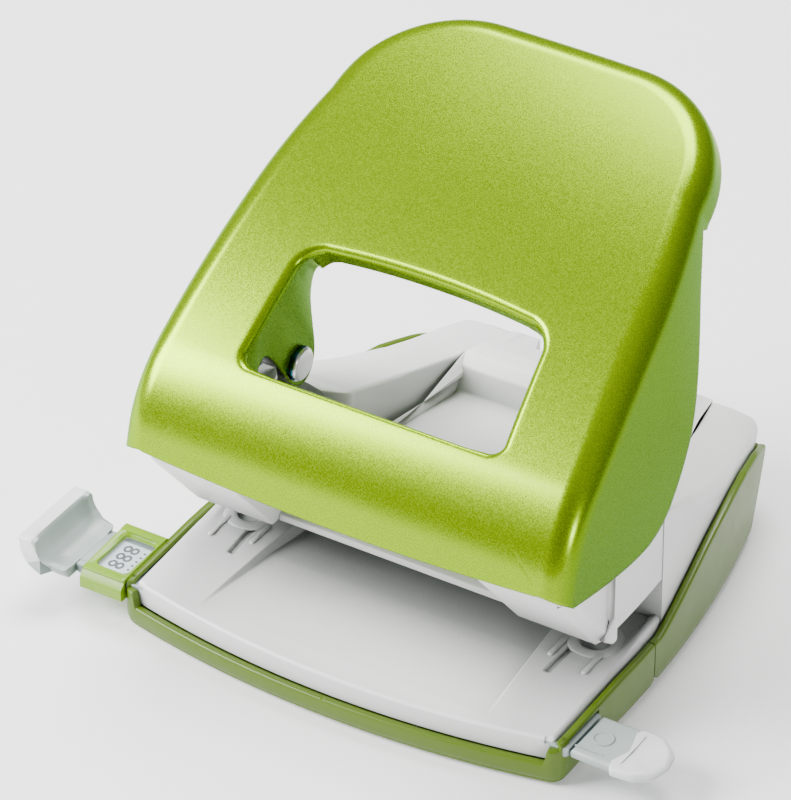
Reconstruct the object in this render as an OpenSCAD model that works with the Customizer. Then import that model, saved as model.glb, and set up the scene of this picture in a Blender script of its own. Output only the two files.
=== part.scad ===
// Two-hole desk punch with a sheet metal hood handle, a sliding paper guide and a chip tray.
// Origin: on the desk, midway between the two punches. +X is the user's right, +Y the back.

/* [Hole pattern] */
// Distance between the two punch axes
hole_spacing = 80; // [75:1:85]
// Diameter of each punch
punch_d = 6; // [5:0.5:7]
// Radial running clearance of pins and punches
run_gap = 0.05; // [0.02:0.01:0.09]
// Distance from the punch axis to the paper stop in the throat
throat_depth = 12; // [10:0.5:14]
// Height of the paper slot above the table
throat_h = 8; // [6:0.5:9]

/* [Base] */
// Half width of the base at its widest
base_half_w = 50.4; // [49.5:0.1:62]
// How far the middle of the bowed front stands forward of the punch axis
base_front = 37.4; // [36:0.5:45]
// Length of the base behind the punch axis, at the desk
base_rear = 62; // [58:1:75]
// Height of the green side wall beside the table
rim_h = 11; // [10.5:0.5:13]
// Height of the paper table above the desk
table_z = 11.6; // [11.2:0.1:13]
// Wall thickness of the moulded base and tray
base_wall = 1.8; // [1.2:0.1:2.5]
// Wall thickness of the white mouldings
housing_wall = 1.6; // [1.2:0.1:2.2]
// How far the bottom of the base stands above the desk
foot_h = 0.8; // [0.5:0.1:1.5]
// Position of the seam between the fixed base and the chip tray
seam_y = 5.4; // [4.6:0.1:6.2]

/* [Handle] */
// Thickness of the handle's sheet metal
sheet_t = 1.2; // [1:0.1:1.6]
// Length of the handle up its face, from its foot to its top edge
handle_len = 108; // [90:1:125]
// Depth of the rim that is turned down round the top
lip_depth = 9; // [6:0.5:14]
// Half width of the window
window_half_w = 30; // [29:0.5:31]
// Angle that the handle turns through when it is pressed
press_angle = 27; // [20:1:28]

/* [Mechanism] */
// Fulcrum position behind (-) or in front of the punch axis
pivot_y = -21.5; // [-22.5:0.1:-20.5]
// Fulcrum height
pivot_z = 46.5; // [45.5:0.1:47.5]
// Fulcrum pin radius
pivot_r = 2.5; // [2:0.1:3]
// Height of the press pin at rest
press_z = 52.4; // [51:0.1:54]
// Press pin shank radius
press_r = 2.5; // [2:0.1:2.8]
// Press pin disc radius
press_head_r = 3.7; // [3.2:0.1:4.2]
// Wire diameter of the punch spring
wire_d = 1; // [0.7:0.1:1.1]
// Number of turns of the punch spring
spring_turns = 7; // [5:0.5:8]

/* [Paper guide] */
// Travel of the paper guide from its innermost setting
guide_travel = 96.5; // [60:0.5:97]
// Distance from the side of the base to the stop face, at the innermost setting
stop_reach = 18.1; // [16:0.1:22]
// Width of the guide bar
bar_w = 13; // [11:0.5:13.5]
// Thickness of the guide bar
bar_t = 2.1; // [1.6:0.1:2.3]
// Middle of the guide bar
bar_y = -23.6; // [-24:0.1:-23]
// Gap round the guide bar
slide_gap = 0.3; // [0.2:0.05:0.4]

/* [Chip tray] */
// Radius of the tray's hinge rod
hinge_r = 0.9; // [0.7:0.1:1]

/* [Hidden] */
$fn = 48;
BIG = 200;
SHEET = "yellowgreen";
MOULD = "olivedrab";
WHITE = "whitesmoke";
STEEL = "silver";

punch_x = hole_spacing / 2;
handle_half_w = base_half_w - 0.1;
stop_x = base_half_w + stop_reach;
punch_r = punch_d / 2;
table_t = 0.9;
die_r = punch_r + 2;
ceiling_z = table_z + throat_h;
// The table sinks in the middle towards the back, so that a thick stack can bow down.
ramp_half_w = 30;
ramp_front = -30;
ramp_drop = 3.2;

// Plan of the base: a bowed front, round front corners and sides that curve in to the back.
bow_r = 211;
side_r = 253;
side_start = -5;
corner_r = 3;
function side_x(y) = base_half_w
    - (y > side_start ? side_r - sqrt(side_r * side_r - (y - side_start) * (y - side_start)) : 0);
function bow_y(x) = -base_front + bow_r - sqrt(bow_r * bow_r - x * x);
corner_x = base_half_w - corner_r;
corner_y = bow_y(corner_x) + corner_r * 1.1;
rear_r = 380;
function rear_y(x, y0) = y0 - rear_r + sqrt(rear_r * rear_r - x * x);
function half_plan(inset, y_rear) = let (r = max(corner_r - inset, 0.4),
    cx = base_half_w - inset - r, cy = bow_y(cx) + inset + r * 1.1) concat(
    [for (i = [0:6]) [cx * i / 6, bow_y(cx * i / 6) + inset]],
    [for (a = [-75:15:-15]) [cx + r * cos(a), cy + r * sin(a)]],
    [for (i = [0:10]) let (y = cy + (y_rear - 2 - cy) * i / 10) [side_x(y) - inset, y]],
    [for (i = [6:-1:0]) let (x = (side_x(y_rear) - inset - 2) * i / 6)
        [x, rear_y(x, y_rear) - inset]]);
module plan(inset, y_rear) {
    polygon(concat(half_plan(inset, y_rear),
        [for (i = [len(half_plan(inset, y_rear)) - 2:-1:1])
            [-half_plan(inset, y_rear)[i][0], half_plan(inset, y_rear)[i][1]]]));
}

// The back of the base leans out as it rises: its plan is longer at the top.
rear_top_y = base_rear + 13;
rear_top_z = 17;
rear_hw = side_x(rear_top_y) - 0.5;

// Top edge of the green walls, seen from the side, from the table to the rear corner.
tray_crest = [[BIG, rim_h], [9, rim_h], [22.5, 16], [31.5, 19], [42, 20.6], [50, 20.2],
    [base_rear + 8, 17.2], [rear_top_y, 14.6], [BIG, 14.6]];
// Side view of the white housing.
throat_y = throat_depth;
tip_y = -10.5;
brow_y = -26.2;
brow_z = 38.4;
housing_top = 42.5;
mouth_z = 33;
housing_side = [[tip_y, ceiling_z], [brow_y, brow_z], [brow_y, housing_top], [2, housing_top],
    [9, 38.6], [16, 36], [30, 31.8], [50, 26.6], [66, 21.4], [rear_top_y + 1, 18.2],
    [rear_top_y + 1, 15.1], [base_rear + 6.2, 15.1], [base_rear + 2.4, 10.5], [throat_y, 10.5],
    [throat_y, ceiling_z]];
// Inner edge of the side rails, in plan: [y, x].
function rail_in(y) = y < 23 ? 28 + 2 * max(0, y + 2) / 25
    : y < 57 ? 30 - 2 * (y - 23) / 34 : 28 - 4.6 * (y - 57) / 20;
rail_rows = [brow_y - 1, -2, 23, 57, rear_top_y + 4];
housing_gap = 0.4;
housing_inset = base_wall + housing_gap;

// Face of the handle, as two arcs that blend: a tight one at the foot, then a long flat one.
foot_y = -31.9;
foot_z = 43.5;
foot_heading = 75;
knee_heading = 38.5;
knee_r = 32;
crown_r = 287;
crown_heading = 20.4;
lift = 4;
knee_c = [foot_y + lift * cos(foot_heading) + knee_r * sin(foot_heading),
    foot_z + lift * sin(foot_heading) - knee_r * cos(foot_heading)];
crown_c = [knee_c[0] - knee_r * sin(knee_heading) + crown_r * sin(knee_heading),
    knee_c[1] + knee_r * cos(knee_heading) - crown_r * cos(knee_heading)];
function on_arc(c, r, h) = [c[0] - r * sin(h), c[1] + r * cos(h)];
function face(d) = concat(
    [[foot_y + d * sin(foot_heading) - 2 * cos(foot_heading),
        foot_z - d * cos(foot_heading) - 2 * sin(foot_heading)]],
    [for (i = [0:7]) on_arc(knee_c, knee_r - d, foot_heading + (knee_heading - foot_heading) * i / 7)],
    [for (i = [1:12]) on_arc(crown_c, crown_r - d,
        knee_heading + (crown_heading - knee_heading) * i / 12)]);
// Free edge of the side walls, from the rim at the top round to the foot.
hem = [[31, 84], [27.8, 78.2], [24.5, 70.5], [21.2, 62], [17.6, 53.8], [13.2, 46], [9, 40.8],
    [4, 38], [-2, 37.2], [-9, 37.6], [-18, 38.9], [-27.6, 40.9]];
// Direction along the face, for its outline and its window.
tilt = 33;
foot_u = foot_y * cos(tilt) + foot_z * sin(tilt);
top_u = foot_u + handle_len;
top_r = 26;
lean_r = 176;
lean_z = 45;
top_half_w = handle_half_w - 8.3;
function lean_x(z) = handle_half_w
    - (z > lean_z ? lean_r - sqrt(lean_r * lean_r - (z - lean_z) * (z - lean_z)) : 0);

// Motion of the press pin: it swings about the fulcrum, and is nearly straight over the punch.
press_y = 0;
swing_r = norm([press_y - pivot_y, press_z - pivot_z]);
swing_rest = atan2(press_z - pivot_z, press_y - pivot_y);
stroke = swing_r * (sin(swing_rest) - sin(swing_rest - press_angle));
sway = swing_r * (1 - cos(swing_rest));
ear_in = window_half_w - 1;
ear_t = 1.5;
// The two cheeks of each bracket stand either side of the punch.
cheek_t = 1.2;
cheek_in = ear_in + ear_t + 1.3;
cheek_out = side_x(throat_y + 5) - housing_inset - housing_wall - cheek_t - 0.1;
seat_z = ceiling_z + housing_wall + 0.2;
seat_t = 2;
bush_r = punch_r + 1;
flange_z = press_z - 7.9;
bush_h = flange_z - stroke - seat_z - seat_t - 3.4;
flange_r = 5.4;
spring_r = 4.7;
tip_rest = ceiling_z + 0.3;

bar_z = table_z - ramp_drop * (bar_y + bar_w / 2 - ramp_front) / (throat_y - ramp_front)
    - table_t - slide_gap - bar_t - 0.1;
bar_top = bar_z + bar_t;
detent_x = -38;
sleeve_len = 11.6;
sleeve_w = 17.4;
sleeve_x = -base_half_w - sleeve_len + 2;
latch_len = 20.5;
bar_right = base_half_w + 1;
stop_h = 15.4;
hinge_y = seam_y + 1.9;
hinge_z = 2.7;

// Underside of the latch when it is pressed inside the base: ribs there stay below it.
press_room = 2;

module along_x(x0, x1) {
    translate([x0, 0, 0]) rotate([90, 0, 90]) linear_extrude(x1 - x0) children();
}
module along_y(y0, y1) {
    translate([0, y1, 0]) rotate([90, 0, 0]) linear_extrude(y1 - y0) children();
}
module rod(x0, x1, y, z, r) {
    translate([x0, y, z]) rotate([0, 90, 0]) cylinder(r = r, h = x1 - x0);
}
module block(lo, hi) { translate(lo) cube(hi - lo); }
module sides() {
    children();
    mirror([1, 0, 0]) children();
}
function round_rect(hw, y0, y1, r) = concat(
    [for (a = [0:15:90]) [hw - r + r * cos(a), y1 - r + r * sin(a)]],
    [for (a = [90:15:180]) [-hw + r + r * cos(a), y1 - r + r * sin(a)]],
    [for (a = [180:15:270]) [-hw + r + r * cos(a), y0 + r + r * sin(a)]],
    [for (a = [270:15:360]) [hw - r + r * cos(a), y0 + r + r * sin(a)]]);

// ---- fixed base ----

// Space for the guide bar across the base.
module bar_way(gap) {
    block([-BIG, bar_y - bar_w / 2 - gap, bar_z - gap], [BIG, bar_y + bar_w / 2 + gap, bar_top + gap]);
}
module outer_wall(z0, z1, y_rear, wall) {
    translate([0, 0, z0]) linear_extrude(z1 - z0) difference() {
        plan(0, y_rear);
        plan(wall, y_rear);
    }
}
bow_h = 5.8;
module base_shell() color(MOULD) {
    difference() {
        union() {
            outer_wall(foot_h, rim_h, base_rear, base_wall);
            translate([0, 0, foot_h]) linear_extrude(1.4) plan(0, base_rear);
            // posts that carry the table
            for (x = [-44, 44], y = [-10, 2])
                translate([x, y, foot_h]) cylinder(r = 2, h = bar_z - 1.5 - foot_h);
        }
        block([-BIG, seam_y, -1], [BIG, BIG, BIG]);
        block([-corner_x, -BIG, bow_h], [corner_x, corner_y, BIG]);
        bar_way(slide_gap);
        // recess for the grip strip
        block([-20.2, -3.2, -1], [20.2, 3.2, foot_h + 0.6]);
    }
    // rails under the guide bar, and lugs for the tray's hinge rod
    for (y = [bar_y - 4, bar_y + 4])
        block([-44, y - 0.8, foot_h + 1], [44, y + 0.8, bar_z - press_room]);
    sides() difference() {
        union() {
            block([18, seam_y - 3, foot_h + 1], [22, hinge_y, hinge_z + 1.6]);
            rod(18, 22, hinge_y, hinge_z, 1.6);
        }
        rod(17, 23, hinge_y, hinge_z, hinge_r);
        block([17, seam_y - 0.1, -1], [23, hinge_y + 3, foot_h + 0.3]);
    }
}
module grip_strip() color("dimgray") block([-20, -3, 0], [20, 3, foot_h + 0.6]);
module guide_sleeve() color(SHEET) difference() {
    // a box with a sloped front shoulder, let into the side wall
    along_x(sleeve_x, 2 * base_wall - base_half_w) polygon([
        [bar_y - sleeve_w / 2, bar_z - 1.6], [bar_y - sleeve_w / 2, rim_h - 1.4],
        [bar_y - sleeve_w / 2 + 1.6, rim_h], [bar_y + sleeve_w / 2 - 0.4, rim_h],
        [bar_y + sleeve_w / 2, rim_h - 0.6], [bar_y + sleeve_w / 2, bar_z - 1.6]]);
    linear_extrude(BIG) plan(0, base_rear);
    bar_way(slide_gap);
    translate([0, 0, bar_top]) linear_extrude(BIG)
        translate([sleeve_x + sleeve_len / 2 - 0.4, bar_y]) polygon(round_rect(3.6, -5.6, 5.6, 1.2));
}
module sleeve_window() color("lightblue", 0.4)
    translate([sleeve_x + sleeve_len / 2 - 0.4, bar_y, bar_top + slide_gap + 0.05])
    linear_extrude(0.5) polygon(round_rect(3.55, -5.55, 5.55, 1.2));
module paper_table() color(WHITE) difference() {
    union() {
        difference() {
            translate([0, 0, bow_h]) linear_extrude(table_z - bow_h) plan(housing_inset, base_rear);
            // hollow under the plate, deeper where the middle sinks
            translate([0, 0, bow_h - 1]) linear_extrude(table_z - table_t - bow_h + 1)
                plan(housing_inset + 1.4, base_rear);
            block([-BIG, corner_y, -1], [BIG, BIG, bar_top + slide_gap]);
        }
        along_x(-ramp_half_w - 1, ramp_half_w + 1) polygon([
            [ramp_front - 3, table_z - table_t], [ramp_front, table_z - table_t],
            [throat_y, table_z - table_t - ramp_drop], [throat_y, table_z],
            [ramp_front - 3, table_z]]);
        // bosses on the underside round the dies, and ribs that lead the sheet
        sides() translate([punch_x, 0, table_z - 2]) cylinder(r = die_r + 1.2, h = 2);
        sides() for (x = [punch_x - 3.3, punch_x + 3])
            along_x(x, x + 0.7) polygon([[-11, table_z - 0.2], [-3.6, table_z - 0.2],
                [-3.6, table_z + 0.6]]);
    }
    along_x(-ramp_half_w, ramp_half_w) polygon([[ramp_front, table_z],
        [throat_y + 1, table_z - ramp_drop * (throat_y + 1 - ramp_front) / (throat_y - ramp_front)],
        [throat_y + 1, BIG], [ramp_front, BIG]]);
    sides() translate([punch_x, 0, 0]) cylinder(r = die_r + 0.02, h = BIG);
    block([-BIG, throat_y - 0.1, -1], [BIG, BIG, BIG]);
    bar_way(slide_gap);
}
module die() color(STEEL) translate([punch_x, 0, bar_z - 1.2]) difference() {
    union() {
        cylinder(r = die_r, h = table_z - bar_z + 1.2);
        cylinder(r = die_r + 1, h = 1.2);
    }
    translate([0, 0, -1]) cylinder(r = punch_r + run_gap, h = BIG);
}
screw_z = 16;
screw_r = 1.25;
// Pressed steel frame round one punch: two C-shaped cheeks joined by the plates between them.
function cheek() = let (low = bar_z - 1.2) [
    [-7, low + 1.2], [-7, low + 3.2], [throat_y + 1.8, low + 3.2], [throat_y + 1.8, seat_z],
    [-6, seat_z], [-14, seat_z + 7], [pivot_y - 3.6, pivot_z - 4.2], [pivot_y - 3.6, pivot_z + 1.4],
    [pivot_y - 1.4, pivot_z + 3.8], [pivot_y + 1.6, pivot_z + 3.8], [pivot_y + 3.8, pivot_z + 1.4],
    [-9, seat_z + 9], [-6.6, seat_z + seat_t], [throat_y + 5, seat_z + seat_t], [throat_y + 5, low + 1.2]];
module bracket() color(STEEL) difference() {
    union() {
        for (x = [cheek_in, cheek_out]) along_x(x, x + cheek_t) polygon(cheek());
        // punch guide, die holder and back web
        block([cheek_in, -6.6, seat_z], [cheek_out + cheek_t, throat_y + 5, seat_z + seat_t]);
        translate([punch_x, 0, seat_z]) cylinder(r = bush_r, h = seat_t + bush_h);
        block([cheek_in, -7, bar_z], [cheek_out + cheek_t, throat_y + 5, bar_z + 1.4]);
        block([cheek_in, throat_y + 3.5, bar_z], [cheek_out + cheek_t, throat_y + 5, seat_z + 1]);
    }
    translate([punch_x, 0, 0]) cylinder(r = punch_r + run_gap, h = BIG);
    translate([punch_x, 0, bar_z - 2]) cylinder(r = die_r, h = 6);
    rod(0, BIG, pivot_y, pivot_z, pivot_r);
    translate([punch_x, throat_y + 10, screw_z]) rotate([90, 0, 0]) cylinder(r = screw_r, h = 12);
}
module fulcrum_pin() color(STEEL) {
    rod(ear_in - 1, ear_in - 0.1, pivot_y, pivot_z, pivot_r + 1.2);
    rod(ear_in - 0.5, cheek_out + cheek_t + 0.4, pivot_y, pivot_z, pivot_r);
}
module fulcrum_spacers() color("gold") sides() difference() {
    rod(ear_in + ear_t + 0.2, cheek_in - 0.1, pivot_y, pivot_z, pivot_r + 1.4);
    rod(0, BIG, pivot_y, pivot_z, pivot_r + 0.02);
}
module bracket_screws() color("dimgray") sides()
    translate([punch_x, throat_y, screw_z]) rotate([-90, 0, 0]) {
    translate([0, 0, 3]) cylinder(r = screw_r, h = 5.5);
    difference() {
        translate([0, 0, 1.9]) cylinder(r = 2.4, h = 1.6);
        translate([-0.3, -3, 1.8]) cube([0.6, 6, 0.8]);
    }
}
// Housing: the side view, cut to the plan of the base, hollowed from below.
function rail_plan(d) = concat(
    [for (y = rail_rows) [rail_in(y) + d, y]],
    [for (y = [rear_top_y + 4:-6:brow_y - 5]) [side_x(y) - housing_inset - d
        - (y > 60 ? (y - 60) * 0.22 : 0), y]]);
module housing() color(WHITE) {
    sides() difference() {
        intersection() {
            along_x(0, BIG) polygon(housing_side);
            linear_extrude(BIG) polygon(rail_plan(0));
        }
        intersection() {
            translate([0, housing_wall, -housing_wall]) along_x(0, BIG) polygon(housing_side);
            linear_extrude(BIG) polygon(rail_plan(housing_wall));
            union() {
                block([0, -BIG, ceiling_z + housing_wall], [BIG, BIG, BIG]);
                block([0, throat_y + housing_wall, 0], [BIG, BIG, BIG]);
            }
            block([0, -BIG, 0], [BIG, rear_top_y - housing_wall, BIG]);
        }
        // open above the mechanism, behind the slope of the front
        along_x(0, base_half_w - housing_inset - housing_wall) polygon([
            [brow_y + housing_wall, BIG], [brow_y + housing_wall, brow_z], [-19.6, mouth_z],
            [11, mouth_z], [11, BIG]]);
        translate([punch_x, 0, ceiling_z - 1]) cylinder(r = punch_r + 0.6, h = 4);
        // the back follows the plan of the base
        difference() {
            block([0, base_rear, 0], [BIG, BIG, BIG]);
            translate([0, rear_top_y + 1 - rear_r, 0]) cylinder(r = rear_r, h = BIG);
        }
    }
    // boss that takes the bracket's screw
    sides() difference() {
        block([punch_x - 3, throat_y + 5.1, screw_z - 3],
            [side_x(throat_y + 9) - housing_inset - 0.5, throat_y + 9, screw_z + 3]);
        translate([punch_x, 0, screw_z]) rotate([-90, 0, 0]) cylinder(r = screw_r, h = BIG);
    }
    // strip under the front edge of the handle
    block([-rail_in(0) - 1, brow_y, brow_z - 0.4], [rail_in(0) + 1, brow_y + housing_wall, housing_top]);
}
basin_z = 14;
basin_y0 = throat_y + housing_wall;
notch_y = rear_top_y - 3;
notch_hw = 19;
cover_side = [[tip_y + 2, ceiling_z], [tip_y + 2, ceiling_z + housing_wall],
    [basin_y0, ceiling_z + housing_wall], [basin_y0, basin_z], [57, basin_z - 1.4], [58.6, 18.4],
    [60, 19.8], [62, 20.2], [66, 19.8], [rear_top_y + 1, 18], [rear_top_y + 1, 15.1],
    [base_rear + 6.2, 15.1], [base_rear + 3, 11.5],
    [basin_y0 - housing_wall, 11.5], [basin_y0 - housing_wall, ceiling_z]];
module rear_cover() color(WHITE) difference() {
    intersection() {
        along_x(-BIG, BIG) polygon(cover_side);
        linear_extrude(BIG) polygon(concat(
            [for (y = rail_rows) [rail_in(y) - 0.12, y]],
            [for (i = [len(rail_rows) - 1:-1:0]) [-rail_in(rail_rows[i]) + 0.12, rail_rows[i]]]));
    }
    // thumb notch at the back
    linear_extrude(BIG) polygon([[-notch_hw, notch_y], [notch_hw, notch_y],
        [notch_hw - 3, BIG], [-notch_hw + 3, BIG]]);
    block([-20, 61, 0], [20, notch_y - 1.6, 18]);
}
module detent_spring() color(STEEL) translate([detent_x, bar_y, 0]) {
    block([-6, -2.4, bar_z - press_room - 0.3], [6, 2.4, bar_z - press_room]);
    block([-5, -1, foot_h + 1.4], [-3, 1, bar_z - press_room - 0.3]);
}
module tray_hinge_rod() color(STEEL) rod(-30, 30, hinge_y, hinge_z, hinge_r);

// ---- handle ----

module hood(d) {
    intersection() {
        along_x(-BIG, BIG) polygon(concat(face(d), d > 0
            ? [[BIG, BIG], [BIG, 0], [foot_y + d, 0]]
            : concat([for (h = [crown_heading:1.4:26]) on_arc(crown_c, crown_r - lip_depth, h)],
                hem)));
        // the sides lean in towards the top
        along_y(-BIG, BIG) polygon(concat(
            [for (z = [20, for (i = [0:16]) lean_z + 4 * i]) [lean_x(z) - d, z]],
            [for (z = [for (i = [16:-1:0]) lean_z + 4 * i, 20]) [d - lean_x(z), z]]));
        // outline of the face, square to it, with large round corners at the top
        rotate([tilt, 0, 0]) translate([0, 0, -BIG / 2]) linear_extrude(2 * BIG)
            polygon(concat([[-BIG / 2, foot_u - 40], [BIG / 2, foot_u - 40],
                [top_half_w + 12 - d, foot_u + 40]],
                [for (a = [8:8:88]) [top_half_w - top_r + (top_r - d) * cos(a),
                    top_u - top_r + (top_r - d) * sin(a)]],
                [for (a = [92:8:172]) [-top_half_w + top_r + (top_r - d) * cos(a),
                    top_u - top_r + (top_r - d) * sin(a)]],
                [[-top_half_w - 12 + d, foot_u + 40]]));
    }
}
window_u = [foot_u + 17.7, foot_u + 46.2];
module ear() {
    lobe = pivot_r + 2;
    press_lobe = press_head_r + 2.3;
    difference() {
        union() {
            along_x(ear_in, ear_in + ear_t) polygon([
                [pivot_y - lobe, pivot_z], [pivot_y - lobe, 55], [-21.6, 60.6], [-16, 66.6],
                [2, 79.4], [7.4, 76], [8, 68], [press_y + press_lobe, press_z],
                [press_y, press_z], [-11.5, 58.5], [pivot_y + lobe, pivot_z]]);
            rod(ear_in, ear_in + ear_t, pivot_y, pivot_z, lobe);
            rod(ear_in, ear_in + ear_t, press_y, press_z, press_lobe);
        }
        rod(0, BIG, pivot_y, pivot_z, pivot_r + run_gap);
        rod(0, BIG, press_y, press_z, press_r);
    }
}
module handle_shell() color(SHEET) {
    difference() {
        hood(0);
        hood(sheet_t);
        rotate([tilt, 0, 0]) linear_extrude(BIG)
            polygon(round_rect(window_half_w - 1.2, window_u[0], window_u[1], 6));
    }
    sides() intersection() {
        ear();
        hood(0.3);
    }
}
module press_pin() color(STEEL) {
    rod(ear_in - 2, ear_in, press_y, press_z, press_head_r);
    rod(ear_in - 0.5, punch_x + 4.6, press_y, press_z, press_r);
}
module press_pin_clips() color("dimgray") sides() difference() {
    rod(ear_in + ear_t + 0.02, ear_in + ear_t + 0.8, press_y, press_z, press_r + 1.2);
    rod(0, BIG, press_y, press_z, press_r + 0.01);
    translate([0, -press_r * 0.5, press_z]) cube([BIG, press_r, 10]);
}

// ---- punches ----

module punch() color(STEEL) translate([punch_x, 0, 0]) {
    head = [3.4, press_r + 2.6];
    difference() {
        union() {
            translate([0, 0, tip_rest]) cylinder(r = punch_r, h = flange_z - tip_rest + 1);
            translate([0, 0, flange_z]) cylinder(r = flange_r, h = 1.4);
            block([-head[0], -head[1], flange_z], [head[0], head[1], press_z + press_r + 2]);
        }
        // the press pin's slot, wider than the pin by its sway
        block([-10, press_y - press_r - 0.3, press_z - press_r - 0.25],
            [10, press_y + press_r + sway + 0.3, press_z + press_r + 0.25]);
        // hollow ground cutting edge
        translate([0, -punch_r * 2, tip_rest - punch_r * 1.75]) rotate([-90, 0, 0])
            cylinder(r = punch_r * 2, h = punch_r * 4);
    }
}
SPRING_RINGS = 84;
SPRING_SIDES = 8;
spring_low = seat_z + seat_t + wire_d / 2 + 0.05;
spring_high = flange_z - wire_d / 2 - 0.05;
function coil(i, k) = let (t = i / SPRING_RINGS, a = 360 * spring_turns * t, b = 360 * k / SPRING_SIDES,
    r = spring_r + wire_d / 2 * cos(b)) [punch_x + r * cos(a), r * sin(a),
    spring_low + (spring_high - spring_low) * t + wire_d / 2 * sin(b)];
module spring() color(STEEL) polyhedron(
    points = [for (i = [0:SPRING_RINGS], k = [0:SPRING_SIDES - 1]) coil(i, k)],
    faces = concat([[for (k = [0:SPRING_SIDES - 1]) k]],
        [for (i = [0:SPRING_RINGS - 1], k = [0:SPRING_SIDES - 1])
            let (n = (k + 1) % SPRING_SIDES, a = i * SPRING_SIDES, b = a + SPRING_SIDES)
            [a + k, b + k, b + n, a + n]],
        [[for (k = [SPRING_SIDES - 1:-1:0]) SPRING_RINGS * SPRING_SIDES + k]]));

// ---- paper guide ----

module guide_bar() color("gainsboro") difference() {
    block([-stop_x + 5.5, bar_y - bar_w / 2, bar_z], [bar_right, bar_y + bar_w / 2, bar_top]);
    // notches underneath for the detent, one for each paper size
    for (i = [0:6]) translate([detent_x + guide_travel * i / 7, bar_y - bar_w, bar_z])
        rotate([-90, 0, 0]) cylinder(r = 0.6, h = 2 * bar_w);
    block([sleeve_x + 1.2, bar_y - 4.8, bar_top - 0.5], [sleeve_x + sleeve_len - 1.8, bar_y + 4.8, BIG]);
}
module format_label() color("azure")
    block([sleeve_x + 1.3, bar_y - 4.7, bar_top - 0.5],
        [sleeve_x + sleeve_len - 1.9, bar_y + 4.7, bar_top - 0.05]);
// The stop curls up from the end of the bar like the tip of a ski.
stop_hw = 10.2;
stop_t = 1.7;
module paper_stop() color(WHITE) {
    curl = stop_h - bar_top;
    cx = -stop_x + 0.6;
    along_y(bar_y - stop_hw - 1.7, bar_y + stop_hw - 1.7) polygon(concat(
        [[-stop_x + 5.5, bar_top]],
        [for (a = [270:-10:180]) [cx + curl * 0.98 * cos(a) + 4.6, stop_h + curl * sin(a)]],
        [[cx - curl - 0.2, stop_h]],
        [for (a = [180:10:270])
            [cx + 4.4 + (curl + 3.8) * cos(a), stop_h - 0.4 + (curl + stop_t - 0.4) * sin(a)]],
        [[-stop_x + 5.5, bar_z]]));
}
module bar_latch() color("lightgray") {
    z0 = bar_z + 0.15;
    difference() {
        along_y(bar_y - bar_w / 2 + 0.5, bar_y + bar_w / 2 - 0.2) polygon([
            [bar_right + 0.3, z0], [bar_right + 0.3, bar_top], [bar_right + latch_len - 4, bar_top],
            [bar_right + latch_len - 1.6, bar_top - 0.7], [bar_right + latch_len - 1, z0 + 0.3],
            [bar_right + latch_len - 1.5, z0]]);
        translate([bar_right + 4, bar_y, bar_top - 0.4]) cylinder(r = 1.7, h = 2);
        sides() translate([0, 0, -1]) linear_extrude(BIG) polygon([
            [bar_right + latch_len - 5, bar_y + bar_w], [bar_right + latch_len + 1, bar_y + bar_w],
            [bar_right + latch_len + 1, bar_y + bar_w / 2 - 4]]);
        translate([0, 0, -1]) linear_extrude(BIG) polygon([
            [bar_right + latch_len - 5, bar_y - bar_w], [bar_right + latch_len + 1, bar_y - bar_w],
            [bar_right + latch_len + 1, bar_y - bar_w / 2 + 4]]);
    }
}

// ---- chip tray ----

module tray_body(inset) {
    // two stacked plans: the upper one reaches further back, so the back leans out
    hull() {
        translate([0, 0, foot_h]) linear_extrude(0.1) plan(inset, base_rear);
        translate([0, 0, rear_top_z]) linear_extrude(0.1) plan(inset, rear_top_y);
    }
}
module chip_tray() color(MOULD) {
    difference() {
        intersection() {
            tray_body(0);
            along_x(-BIG, BIG) polygon(concat([[seam_y + 0.3, rim_h]],
                [for (p = tray_crest) if (p[0] > 8 && p[0] < BIG) p],
                [[rear_top_y + 6, 14.6], [rear_top_y + 6, 0], [seam_y + 2.6, 0], [seam_y + 2.6, foot_h],
                [seam_y + 1.4, foot_h + 1.2], [seam_y + 0.3, 3]]));
        }
        translate([0, 0, 1.4]) tray_body(base_wall);
        // the back wall stops below the white mouldings
        block([-rear_hw, base_rear + 3, 14.6], [rear_hw, BIG, BIG]);
        // room for the base's hinge lugs
        sides() block([17.6, 0, 0], [22.4, hinge_y + 2.2, 5]);
        rod(-30.4, 30.4, hinge_y, hinge_z, hinge_r + 0.3);
    }
    sides() difference() {
        union() {
            rod(23, 27, hinge_y, hinge_z, 1.7);
            block([23, hinge_y, foot_h], [27, hinge_y + 3, hinge_z + 1]);
        }
        rod(20, 30, hinge_y, hinge_z, hinge_r + run_gap);
    }
    // thumb tab that fills the notch in the rear cover
    block([-notch_hw + 3.4, rear_top_y - 2.2, 10], [notch_hw - 3.4, rear_top_y - 0.6, 16.6]);
}
module tray_feet() color("dimgray") for (x = [-26, 26])
    translate([x, base_rear - 12, 0]) cylinder(r = 5, h = foot_h);

base_shell();
guide_sleeve();
sleeve_window();
paper_table();
mirror([1, 0, 0]) die();  // left_die
die();  // right_die
mirror([1, 0, 0]) bracket();  // left_bracket
bracket();  // right_bracket
mirror([1, 0, 0]) fulcrum_pin();  // left_fulcrum_pin
fulcrum_pin();  // right_fulcrum_pin
fulcrum_spacers();
bracket_screws();
housing();
rear_cover();
grip_strip();
detent_spring();
tray_hinge_rod();
handle_shell();
mirror([1, 0, 0]) press_pin();  // left_press_pin
press_pin();  // right_press_pin
press_pin_clips();
mirror([1, 0, 0]) punch();  // left_punch
punch();  // right_punch
mirror([1, 0, 0]) spring();  // left_spring
spring();  // right_spring
guide_bar();
paper_stop();
format_label();
bar_latch();
chip_tray();
tray_feet();
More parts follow.
